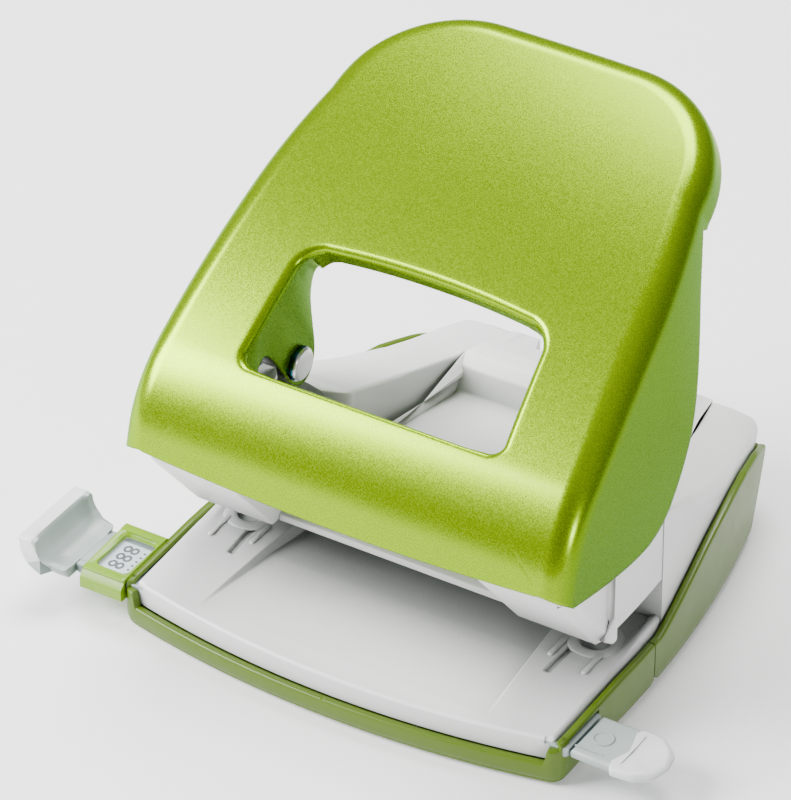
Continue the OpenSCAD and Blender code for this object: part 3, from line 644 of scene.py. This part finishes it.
def base_wall(skin, a, b, section, low, high=None, strip=False):
    """Part of the base's right wall, for t from a to b, up to its sinking rim or to a level height.

    A strip beside the guide's slot reaches a little past the slot's ends, just inside the wall.
    """
    lap = 0.004 * strip
    t = np.linspace(a - lap, b + lap, max(int((b - a) * 110 * FULL), 4))
    if a == 0:
        t = np.unique(np.concatenate([t, np.linspace(0.43, 0.61, 40 * FULL)]))
    x, y = front_plan(t, 0, SEAM_Y).T
    rim = RIM - np.clip((-8 - y) / 22.5, 0, 1) - 12 * np.clip(SLOT_Y[0] - y, 0, 0.11)
    rim = FRONT_RIM + (rim - FRONT_RIM) * smooth(47.0, 47.8, x)
    top = rim if high is None else np.full(len(t), high)
    wall(skin, lambda inset, z: front_plan(t, inset + 0.012 * strip, SEAM_Y), section, low, top)


def base():
    """The green base: a low bowed front, sides with the guide's slot, and a floor."""
    corner_y = front_y(HALF - CORNER, CORNER)
    slot = [0.6 + 0.4 * (y - corner_y) / (SEAM_Y - corner_y) for y in SLOT_Y]
    skin = Skin()
    base_wall(skin, 0, slot[0], EDGE, LOW)
    base_wall(skin, *slot, UNDER_SLOT, LOW, SLOT_Z[0], strip=True)
    base_wall(skin, *slot, OVER_SLOT, SLOT_Z[1], strip=True)
    base_wall(skin, slot[1], 1.0, EDGE, LOW)
    skin.mirrored()
    plate(skin, full_ring(front_plan(np.linspace(0, 1, 90), 0.5, SEAM_Y)), LOW, FLOOR_TOP)
    build("base", skin, GREEN, "frame", ["base_shell"])


def tray_crest(t):
    """Height of the tray's wall for t in 0..1: level behind, then rising to the crest beside the rails."""
    level = 14.6
    hump = bezier([[5.7, 11], [9, 11], [15.5, 13.2], [22.5, 16], [31.5, 19], [42, 20.5], [50.6, 20.3]], 240)
    crest = np.vstack([hump, [[70, 16.4], [78, level]]])
    y = rear_plan(t, 0, np.full(len(t), 15.0), 5.7)[:, 1]
    top = np.where(t < 0.4, level, np.interp(y, crest[:, 0], crest[:, 1]))
    return np.where((t >= 0.4) & (t < 0.62), level + (top - level) * smooth(0.46, 0.62, t), top)


def tray():
    """The green chip tray, with its front ends cut back at the bottom and a thumb tab behind."""
    t = np.unique(np.concatenate([np.linspace(0, 1, 120 * FULL), np.linspace(0.39, 0.56, 26 * FULL)]))
    section = EDGE[:3] + [(0, 2.4), (0, 6), (0, -4)] + EDGE[3:] + [(1.8, 2.4)]
    skin = Skin()
    wall(skin, lambda inset, z: rear_plan(t, inset, z, 5.7 + 2.3 * np.clip((3.0 - z) / 2.2, 0, 1)),
         section, LOW, tray_crest(t))
    skin.mirrored()
    floor_half = rear_plan(np.linspace(0, 1, 80), 0.5, np.full(80, 1.2), 8.0)
    plate(skin, full_ring(floor_half), LOW, FLOOR_TOP)
    tab = rounded_rect(15.6, 0.8, 0.7, 5, 3) + [0, 73.6]
    plate(skin, tab, 10.0, 16.6, 0.3)
    build("chip_drawer", skin, GREEN, "tray", ["chip_tray"])


TABLE_IN, TABLE_TOP, TABLE_BACK = 2.2, 11.6, 11.9
DIE_R = 5.04


def crease_x(y):
    """Half width of the table's hollow at y."""
    return np.where(y < 2, 33 - 3 * (y + 30) / 32, 30)


def table_half():
    """Right half of the paper table as rows from the front edge back and columns from the middle out.

    Rows and columns follow the bowed front and the side. Points near the die's hole are pulled on to
    its edge. The height is a flat top with rounded edges, less a slope to the front, the hollow that
    deepens to the back, the die's seat and a short grip groove.
    """
    u = np.linspace(0, 1, 90 * FULL)
    v = np.concatenate([np.linspace(0, 0.06, 8 * FULL, endpoint=False), np.linspace(0.06, 1, 60 * FULL)])
    uu, vv = np.meshgrid(u, v)
    y = -36.0 + vv * (TABLE_BACK + 36.0)
    crease = crease_x(y)
    outer = side_x(y) - TABLE_IN
    x = np.where(uu < 0.5, (crease - 0.7) * uu / 0.5,
                 np.where(uu < 0.6, crease - 0.7 + 1.4 * (uu - 0.5) / 0.1,
                          crease + 0.7 + (outer - crease - 0.7) * (uu - 0.6) / 0.4))
    front = front_y(x, 1.9)
    y = front + vv * (TABLE_BACK - front)
    # round the corner in plan
    r = 1.0
    cx = HALF - TABLE_IN - r
    cy = front_y(cx, TABLE_IN + r)
    dx, dy = x - cx, cy - y
    inside = (dx > 0) & (dy > 0)
    shrink = np.where(inside, np.maximum(dx, dy) / (np.hypot(dx, dy) + 1e-9), 1)
    x = np.where(inside, cx + dx * shrink, x)
    y = np.where(inside, cy - dy * shrink, y)
    # pull points on to the edge of the die's hole
    rad = np.hypot(x - DIE_X, y) + 1e-9
    near = np.abs(rad - DIE_R) < 0.45
    want = np.where(rad < DIE_R, DIE_R - 0.02, DIE_R + 0.02)
    x = np.where(near, DIE_X + (x - DIE_X) * want / rad, x)
    y = np.where(near, y * want / rad, y)
    # height
    edge = np.minimum(np.minimum(side_x(y) - TABLE_IN - x, y - front_y(x, TABLE_IN)),
                      np.where((x > cx) & (y < cy), r - np.hypot(x - cx, y - cy), 99))
    soft = np.where(x > 46.2, 1.3, 0.45)
    edge = np.clip(edge, 0, soft)
    z = TABLE_TOP - (soft - np.sqrt(np.clip(soft ** 2 - (soft - edge) ** 2, 0, None)))
    crease = crease_x(y)
    z = z - 1.9 * np.clip((-8 - y) / 28, 0, 1)
    z = z + 1.1 * smooth(-12, 8, y) * smooth(44.6, 46.4, x) * (x < 47.6)
    z = z - 3.2 * np.clip((y + 30) / 42, 0, 1.1) * smooth(crease + 0.55, crease - 0.35, x)
    z = z - 1.4 * (np.hypot(x - DIE_X, y) < DIE_R)
    across = np.abs(x - 36.9 - 0.05 * (y + 7))
    grip = smooth(0.9, 0.5, across) * smooth(-13.5, -12.5, y) * smooth(-1.8, -2.8, y)
    z = z - 0.7 * grip
    return np.stack([x, y, z], -1)


def table():
    """The white paper table: top, skirt, two small ribs and the collar round the die."""
    top = table_half()
    skin = Skin().grid(top)
    for line in (top[0], top[:, -1]):
        foot = line.copy()
        foot[:, 2] = 5.34
        skin.grid(np.array([line, line * 0.5 + foot * 0.5, foot]))
    for x, low_y, high_y in [(43.2, -10.8, -3.2), (34.6, -9.0, -2.0)]:
        rib = rounded_rect(0.55, (high_y - low_y) / 2, 0.5, 5, 3) + [x, (low_y + high_y) / 2]
        plate(skin, rib, 10.8, 11.95, 0.3)
    collar = [(11.5, 5.9), (11.66, 5.75), (11.78, 5.4), (11.8, 4.0), (11.66, 3.4), (11.4, 3.3)]
    skin.grid(lathe(collar, np.array([DIE_X, 0, 0]), 2, 48), wrap=True)
    skin.mirrored()
    build("table", skin, WHITE, "frame", ["paper_table"], closed=False, sharp=46)


# ---- housing

SLOPE = np.array([[12.0, 19.6], [-10.5, 19.6], [-26.2, 38.4], [-26.2, 42.5]])


def slope_path():
    """Side line of the front block's underside, corners softened, with its inward offset direction."""
    a, b, c, d = SLOPE
    cut = 0.35
    parts = [np.linspace(a, b + [cut, 0], 24 * FULL, endpoint=False)]
    for p, q, r, rows, more in [(a, b, c, 30, True), (b, c, d, 5, False)]:
        s, e = q + unit(p - q) * cut, q + unit(r - q) * cut
        w = np.linspace(0, 1, 6 * FULL)[:, None]
        parts.append((1 - w) ** 2 * s + 2 * w * (1 - w) * q + w ** 2 * e)
        last = r - unit(r - q) * (cut if more else 0)
        parts.append(np.linspace(e, last, rows * FULL)[1:-1 if more else None])
    path = np.vstack(parts)
    run = unit(np.gradient(path, axis=0))
    return path, np.stack([run[:, 1], -run[:, 0]], 1)


def outer_top(y):
    """Height of the white side wall's upper edge at y."""
    return np.interp(y, [-27, 2, 9, 12, 16, 30, 50, 66, 76],
                     [42.5, 42.5, 38.6, 37.4, 36, 32.3, 27, 21.6, 18.2])


def block_half():
    """Right front block: inner wall, sloped underside, chamfer and side wall, as one ruled sheet."""
    path, inward = slope_path()
    squeeze = HALF - side_x(path[:, 0])
    n = len(path)
    y_top = np.clip(path[:, 0], -26.15, None)
    inner_top = np.stack([np.full(n, 28.0), y_top, np.interp(y_top, [-26.2, -24.6, -19.6, 12],
                                                             [42.5, 38.4, 33, 33])], 1)
    inner_top[path[:, 1] > 37.6, 2] = 42.5
    profile = [(28, 0.75), (28.08, 0.3), (28.35, 0.06), (28.8, 0), (34.0, 0), (40.6, 0), (40.9, 0.04),
               (41.2, 0), (45.7, 0), (45.9, 0.03), (46.02, 0.12), (48.06, 2.12), (48.17, 2.28),
               (48.2, 2.5)]
    columns = [inner_top]
    for x, w in profile:
        at = path + inward * w
        at[:, 1] = np.minimum(at[:, 1], 42.5)
        columns.append(np.column_stack([x - squeeze * (x > 40), at]))
    last = columns[-1]
    side_top = np.column_stack([48.2 - squeeze, np.maximum(y_top, last[:, 1]),
                                outer_top(np.maximum(y_top, last[:, 1]))])
    columns = columns + [last + (side_top - last) * f for f in (0.25, 0.5, 0.75, 1.0)]
    return np.array(columns).transpose(1, 0, 2)


def front_block():
    """Both front blocks, as a thin moulded wall."""
    skin = Skin().grid(block_half()).mirrored()
    build("front_block", skin, WHITE, "frame", ["housing"], thick=1.4, closed=False, sharp=30)


RAIL_Y = np.concatenate([[12, 14, 16, 17.7], np.linspace(18.1, 24, 10 * FULL),
                         np.linspace(24.5, 73.4, 34 * FULL), np.linspace(73.4, 75.8, 10 * FULL)[1:]])


def rail_half():
    """Right rear rail: sections across it, low with a thin side wall beside the mechanism, then full."""
    rings = []
    for y in RAIL_Y:
        late = np.clip((y - 73.6) / 2.2, 0, 1)
        xi = np.interp(y, [12, 23, 57, 77], [29.1, 30, 28, 23.4])
        xs = side_x(y) - 2.05 - 1.6 * (1 - np.sqrt(max(1 - late ** 2, 0)))
        zo = np.interp(y, [12, 17, 24.5, 30, 35.6, 43, 52, 62, 76],
                       [37.4, 36.0, 32.4, 29.8, 27.2, 24.5, 21.6, 19.7, 18.1]) - 0.4 * late ** 3
        zi = np.interp(y, [18, 23, 40, 58, 76], [32.6, 31.6, 26.0, 20.2, 18.0]) - 0.4 * late ** 3
        zb = np.interp(y, [12, 64.4, 68.2, 76], [10.5, 10.5, 15.1, 15.1])
        xe = xi + 6 * (1 - smooth(17, 23, y)) ** 2
        shelf = min(24.0, zi - 1.2)
        if y < 18:
            upper = [(xs, zo), (xs - 0.7, zo), (xs - 1.4, zo), (xs - 1.4, shelf), (xi, shelf)]
            radii = [0, 0.3, 0.3, 0.2, 0.2, 0.2, 0.2]
        else:
            upper = [(xs, zo), ((xs + xe) / 2, (zo + zi) / 2 + 0.3), (xe, zi), (xe, shelf), (xi, shelf - 0.3)]
            radii = [0, 0.3, np.interp(y, [18, 24, 60, 74], [1.5, 2.4, 2.4, 1.6]), 3, 0.9, 0.2, 0.2]
        ring = fillet([(xi, zb), (xs, zb)] + upper, radii, 7)
        rings.append(np.column_stack([ring[:, 0], y - ring[:, 0] ** 2 / 760 * smooth(66, 74, y), ring[:, 1]]))
    return np.array(rings)


def rails():
    """Both rear rails, and the strip that joins the front blocks under the lever's foot."""
    skin = Skin().tube(rail_half()).mirrored()
    build("rear_rails", skin, WHITE, "frame", ["housing"])
    lintel = fillet([(-26.15, 38.3), (-24.7, 38.3), (-24.7, 42.4), (-26.15, 42.4)], 0.5)
    skin = sweep_x(Skin(), lintel, np.linspace(-28.3, 28.3, 12))
    build("brow_strip", skin, WHITE, "frame", ["housing"])


def cover_push(rings):
    """Fits the cover between the rails, bows its back and cuts the thumb notch."""
    f, y = rings[..., 0], rings[..., 1]
    half = np.interp(y, [-27, -2, 23, 57, 77], [28, 28, 30, 28, 23.4]) - 0.12
    x = f * half
    limit = np.where(np.abs(x) < 19.0 - 0.5 * np.clip(y - 72, 0, 4), 72.0, 76 - x ** 2 / 760)
    return np.stack([x, np.minimum(y, limit), rings[..., 2]], -1)


def cover():
    """The white cover between the rails: a ledge at the front, a dished floor and a raised back edge."""
    points = [(-8.5, 19.6), (12, 19.6), (12, 11.5), (65, 11.5), (68.2, 15.1), (76, 15.1), (76, 17.9),
              (65.5, 20.0), (61, 20.2), (58.2, 18.6), (56.6, 13.0), (54.8, 12.9), (38, 15.5), (15.2, 16.6),
              (13.6, 21.2), (-8.5, 21.2)]
    outline = fillet(points, [0.3, 0, 0, 0.3, 0.3, 0.3, 0.8, 3, 2.5, 1.5, 0.8, 1, 8, 0.8, 0.6, 0.3], 7)
    stations = np.unique(np.concatenate([np.linspace(-1, 1, 41), [-0.803, -0.797, 0.797, 0.803]]))
    skin = sweep_x(Skin(), outline, stations, cover_push)
    build("cover", skin, WHITE, "frame", ["rear_cover"])


# ---- paper guide

BAR_Y, LABEL_TOP = -23.6, 9.3


def block(skin, lo, hi, r=0.3):
    """A block with softened edges between two corners."""
    lo, hi = np.array(lo, float), np.array(hi, float)
    ring = rounded_rect((hi[0] - lo[0]) / 2, (hi[1] - lo[1]) / 2, r * 1.4, 4, 2) + (lo + hi)[:2] / 2
    return plate(skin, ring, lo[2], hi[2], r)


def sleeve():
    """The green sleeve round the guide bar: two walls, a floor and a frame that falls to the front."""
    front_wall = fillet([(-32.3, 5.6), (-29.9, 5.6), (-29.9, 6.9), (-30.45, 6.9), (-30.45, 9.66),
                         (-29.6, 9.66), (-29.6, 10.2), (-30.6, 10.1), (-32.3, 8.2)],
                        [0.3, 0, 0, 0, 0, 0, 0, 0.6, 0.4], 4)
    back_wall = fillet([(-14.9, 5.6), (-14.9, 10.4), (-15.5, 10.96), (-17.6, 10.96), (-17.6, 9.66),
                        (-16.75, 9.66), (-16.75, 6.9), (-17.3, 6.9), (-17.3, 5.6)],
                       [0.3, 0.4, 0.3, 0, 0, 0, 0, 0, 0], 4)
    skin = Skin()
    for outline in (front_wall, back_wall):
        sweep_x(skin, outline, [-60.0, -59.8, -54.0, -50.2])
    block(skin, (-59.9, -30.2, 5.62), (-50.2, -17.0, 6.85), 0.1)
    rings = []
    # half sizes, height, corner radius and middle of the frame's rings, from outside to inside
    for hx, hy, z, r, cx in [(4.9, 7.55, 9.68, 0.4, -55.1), (5.0, 7.7, 9.9, 0.5, -55.1),
                             (5.0, 7.7, 10.55, 0.5, -55.1), (4.95, 7.62, 10.85, 0.5, -55.1),
                             (4.8, 7.4, 11.0, 0.5, -55.1), (4.3, 6.5, 11.0, 1.5, -54.8),
                             (4.15, 6.3, 10.9, 1.5, -54.75), (3.75, 5.8, 10.35, 1.3, -54.6),
                             (3.6, 5.6, 9.7, 1.2, -54.6)]:
        ring = rounded_rect(hx, hy, r) + [cx, BAR_Y]
        rings.append(np.column_stack([ring, z - 0.055 * (-16 - ring[:, 1]) * (z > 10.5)]))
    skin.grid(np.array(rings + rings[:1]), wrap=True)
    build("sleeve", skin, SLEEVE, "frame", ["guide_sleeve"])
    lens = plate(Skin(), rounded_rect(3.55, 5.55, 1.2) + [-54.6, BAR_Y], 9.72, 10.12, 0.1)
    build("lens", lens, LENS, "frame", ["sleeve_window"])


def guide():
    """The frosted guide bar and the label on it."""
    skin = Skin()
    block(skin, (-62.6, -30.1, 7.22), (51.3, -17.1, 9.2), 0.35)
    block(skin, (-62.8, -28.6, 8.9), (-60.6, -18.6, 9.32), 0.2)
    build("guide", skin, SMOKE_AND_SHADE, "guide", ["guide_bar"])
    label = plate(Skin(), rounded_rect(4.2, 4.7, 0.4) + [-54.5, BAR_Y], 9.1, 9.32, 0.06)
    build("label", label, LABEL, "guide", ["format_label"])


def small_ring(skin, cx, cy):
    """One loop of a numeral, lying on the label."""
    a = np.linspace(0, 2 * np.pi, 20, endpoint=False)
    r, wire, stretch = 0.68, 0.25, 1.25
    rows = []
    for rad, h in [(r + wire, 0), (r + wire, 0.07), (r - wire, 0.07), (r - wire, 0), (r + wire, 0)]:
        rows.append(np.stack([cx + rad * np.cos(a), cy + rad * stretch * np.sin(a),
                              np.full(20, LABEL_TOP + h)], 1))
    return skin.grid(np.array(rows), wrap=True)


def numerals():
    """Three plain eights and a row of dots on the label."""
    skin = Skin()
    for k in (-1, 0, 1):
        for s in (-0.82, 0.82):
            small_ring(skin, -55.2 + s, BAR_Y + 2.75 * k)
    for k in range(5):
        place = np.array([-52.2, BAR_Y - 3 + 1.5 * k, 0])
        skin.tube(lathe([(LABEL_TOP, 0.3), (9.37, 0.3)], place, 2, 12))
    build("numerals", skin, INK, "guide", ())


def paint_faces(obj, material, chosen):
    """Gives a second material to the faces that chosen picks."""
    obj.data.materials.append(material)
    for face in obj.data.polygons:
        face.material_index = int(chosen(face))


def stop():
    """The paper stop: a ski-shaped section carried along Y, eased at both ends and narrower low down."""
    near, far, middle_y = -35.5, -15.1, -25.3
    inner = bezier([[-62.4, 9.34], [-65.2, 9.7], [-67.4, 11.0], [-68.6, 13.0], [-69.1, 15.0]], 14)
    outer = bezier([[-72.7, 14.9], [-72.2, 12.2], [-70.9, 9.7], [-68.4, 7.9], [-65.4, 7.1], [-62.4, 7.2]], 16)
    ski = np.vstack([inner, [[-69.4, 15.4], [-72.4, 15.4]], outer])
    middle = ski.mean(0)
    rings = []
    for y in [near, -35.4, -35.1, -34.6, -34.0, -33.6, -33.0, -29.5, middle_y, -21, -17.6, -17.0, -16.6,
              -16.0, -15.5, -15.2, far]:
        depth = min(y - near, far - y)
        end = np.clip(1 - depth / 0.6, 0, 1)
        ring = ski + (middle - ski) * 0.10 * end ** 2
        if depth < 2.3:
            ring[:14, 0] += 0.55 * np.linspace(0.2, 1, 14)
            ring[:14, 1] += 0.4 * np.linspace(1, 0.2, 14)
        narrow = smooth(11.0, 8.4, ring[:, 1])
        yy = y + (middle_y - y) * 0.25 * narrow * (ring[:, 0] > -67)
        rings.append(np.column_stack([ring[:, 0], yy, ring[:, 1]]))
    skin = Skin().tube(np.array(rings))
    obj = build("stop", skin, SMOKE_AND_SHADE, "guide", ["paper_stop"], sharp=50)
    # painted light: faces turned out and up get the lighter frosted copy, and the inner face keeps the darker
    # smoky one as painted shade with reflected green
    paint_faces(obj, LIT_FROSTED, lambda face: face.center[0] < -0.0694 or face.normal[0] < -0.35)


def latch():
    """The latch at the bar's right end: a plate with a rounded tip, a bar, a dimple and a thin rib."""
    outline = fillet([(51.7, -29.8), (57.2, -30.0), (60.3, -30.0), (61.0, -30.9), (65.6, -30.6),
                      (69.0, -28.2), (69.9, -23.8), (69.0, -19.4), (65.4, -16.9), (61.0, -16.5),
                      (60.3, -17.2), (51.7, -17.3)],
                     [0.2, 0.5, 0.4, 0.6, 3, 3, 3, 3, 3, 0.6, 0.4, 0.2], 6)
    centre = np.array([59.5, BAR_Y])
    rings = []
    for z, d in [(7.4, 0.5), (7.55, 0.1), (8.0, 0), (8.75, 0), (9.1, 0.25), (9.3, 0.8), (9.32, 1.3)]:
        p = outline + unit(centre - outline) * d
        drop = 1.0 * smooth(65.5, 69.9, p[:, 0]) * (z > 8.5)
        rings.append(np.column_stack([p, z - drop]))
    skin = Skin().tube(np.array(rings))
    block(skin, (61.6, -28.6, 9.1), (62.1, -18.6, 9.46), 0.15)
    dimple = [(9.2, 2.3), (9.42, 2.2), (9.5, 2.0), (9.42, 1.8), (8.9, 1.5), (8.85, 0.05)]
    skin.tube(lathe(dimple, np.array([55.4, BAR_Y, 0]), 2, 36))
    block(skin, (51.7, -28.3, 9.2), (58.0, -27.9, 9.44), 0.1)
    obj = build("latch_plate", skin, SMOKE_AND_SHADE, "latch", ["bar_latch"])
    # painted light: the tip gets the lighter frosted copy, and the base keeps the darker smoky one, partly
    # the plastic's own grey and partly painted shade
    paint_faces(obj, LIT_FROSTED, lambda face: face.center[0] > 0.0604)


# ---- press pins and hidden metal

def press_pins():
    """Both press pins: a turned disc in a dark rim inside the ear, and the shank behind it."""
    disc = [(27.0, 0.02), (27.0, 2.9), (27.12, 3.2), (27.5, 3.5), (27.62, 3.52)]
    rim = [(27.6, 3.3), (27.62, 3.56), (27.9, 3.7), (28.6, 3.7), (28.8, 3.66), (28.98, 3.4), (29.0, 2.5)]
    shank = [(28.6, 2.46), (44.4, 2.46), (44.6, 2.2), (44.6, 0.1)]
    for side, name in ((1, "right"), (-1, "left")):
        for label, profile, material in (("face", disc, CHROME), ("rim", rim, TEAL), ("shank", shank, STEEL)):
            rings = lathe([(side * s, r) for s, r in profile], np.array([0, 0, 52.4]), 0, 32 * FULL)
            build(f"{name}_press_{label}", Skin().tube(rings), material, "handle", [f"{name}_press_pin"])


KEPT = {"left_die": STEEL, "right_die": STEEL, "left_bracket": PLATED, "right_bracket": PLATED,
        "left_fulcrum_pin": STEEL, "right_fulcrum_pin": STEEL, "fulcrum_spacers": BRASS,
        "bracket_screws": DARK, "grip_strip": RUBBER, "tray_feet": RUBBER, "detent_spring": STEEL,
        "tray_hinge_rod": STEEL, "press_pin_clips": DARK, "left_punch": STEEL, "right_punch": STEEL,
        "left_spring": STEEL, "right_spring": STEEL}


def dress_kept():
    """Gives the pieces that keep their own mesh their metal or rubber."""
    for node, material in KEPT.items():
        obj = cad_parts[node]
        obj.data.materials.clear()
        obj.data.materials.append(material)


# ---- camera, floor and light

PHI, EPS = np.radians(31.82), np.radians(35.02)
AWAY = np.array([np.sin(PHI) * np.cos(EPS), -np.cos(PHI) * np.cos(EPS), np.sin(EPS)])
RIGHT = np.array([np.cos(PHI), np.sin(PHI), 0.0])
UP = np.cross(AWAY, RIGHT)


def camera():
    """Camera on the fitted view: its axes are RIGHT, UP and AWAY."""
    data = bpy.data.cameras.new("view")
    data.lens, data.sensor_width, data.clip_end = 268.5, 36.0, 20.0
    obj = bpy.data.objects.new("view", data)
    bpy.context.scene.collection.objects.link(obj)
    place = (1205.3 * AWAY - 18.1 * RIGHT + 32.3 * UP + [0, 24.5, 0]) * MM
    rows = [[*row, p] for row, p in zip(np.stack([RIGHT, UP, AWAY], 1), place)]
    obj.matrix_world = Matrix([*rows, [0, 0, 0, 1]])
    bpy.context.scene.camera = obj


def lamp(name, place, aim, size, power):
    """A square soft box at a place, turned to a point, both in millimetres."""
    data = bpy.data.lights.new(name, "AREA")
    data.shape, data.size, data.energy = "SQUARE", size * MM, power
    obj = bpy.data.objects.new(name, data)
    bpy.context.scene.collection.objects.link(obj)
    way = Vector(np.array(place, float) - np.array(aim, float))
    obj.matrix_world = way.to_track_quat("Z", "Y").to_matrix().to_4x4()
    obj.location = Vector(place) * MM


def surroundings():
    """Plain pale floor, even surrounding light and three soft boxes."""
    f = Finish("floor", Roughness=0.9, Specular_IOR_Level=0.1)
    f.set("Base Color", f.mix(f.noise(3.0), (0.84, 0.84, 0.84), (0.86, 0.86, 0.86)))
    f.set("Emission Color", (1.0, 1.0, 1.0, 1.0))
    f.set("Emission Strength", 0.25)
    mesh = bpy.data.meshes.new("floor")
    mesh.from_pydata([(-9, -9, 0), (9, -9, 0), (9, 9, 0), (-9, 9, 0)], [], [(0, 1, 2, 3)])
    mesh.materials.append(f.material)
    floor = bpy.data.objects.new("floor", mesh)
    bpy.context.scene.collection.objects.link(floor)
    world = bpy.data.worlds.new("studio")
    world.use_nodes = True
    tree = world.node_tree
    ground = tree.nodes["Background"]
    way = Sock(tree, tree.nodes.new("ShaderNodeTexCoord").outputs["Generated"])
    dot = tree.nodes.new("ShaderNodeVectorMath")
    dot.operation = "DOT_PRODUCT"
    link(tree, dot.inputs[0], way)
    dot.inputs[1].default_value = (0.25, -0.80, 0.55)
    card = Sock(tree, dot.outputs["Value"]).ramp(0.80, 0.95)
    link(tree, ground.inputs[1], 0.34 - card * 0.31)
    ground.inputs[0].default_value = (0.97, 0.985, 1.0, 1)
    bpy.context.scene.world = world
    lamp("key", (-600, -430, 560), (0, 10, 40), 520, 24.0)
    lamp("top", (-120, 330, 760), (0, 20, 40), 460, 12.0)
    lamp("edge", (760, -290, 215), (0, 10, 50), 110, 2.4)


lever()
base()
tray()
table()
front_block()
rails()
cover()
sleeve()
guide()
numerals()
stop()
latch()
press_pins()
dress_kept()
camera()
surroundings()
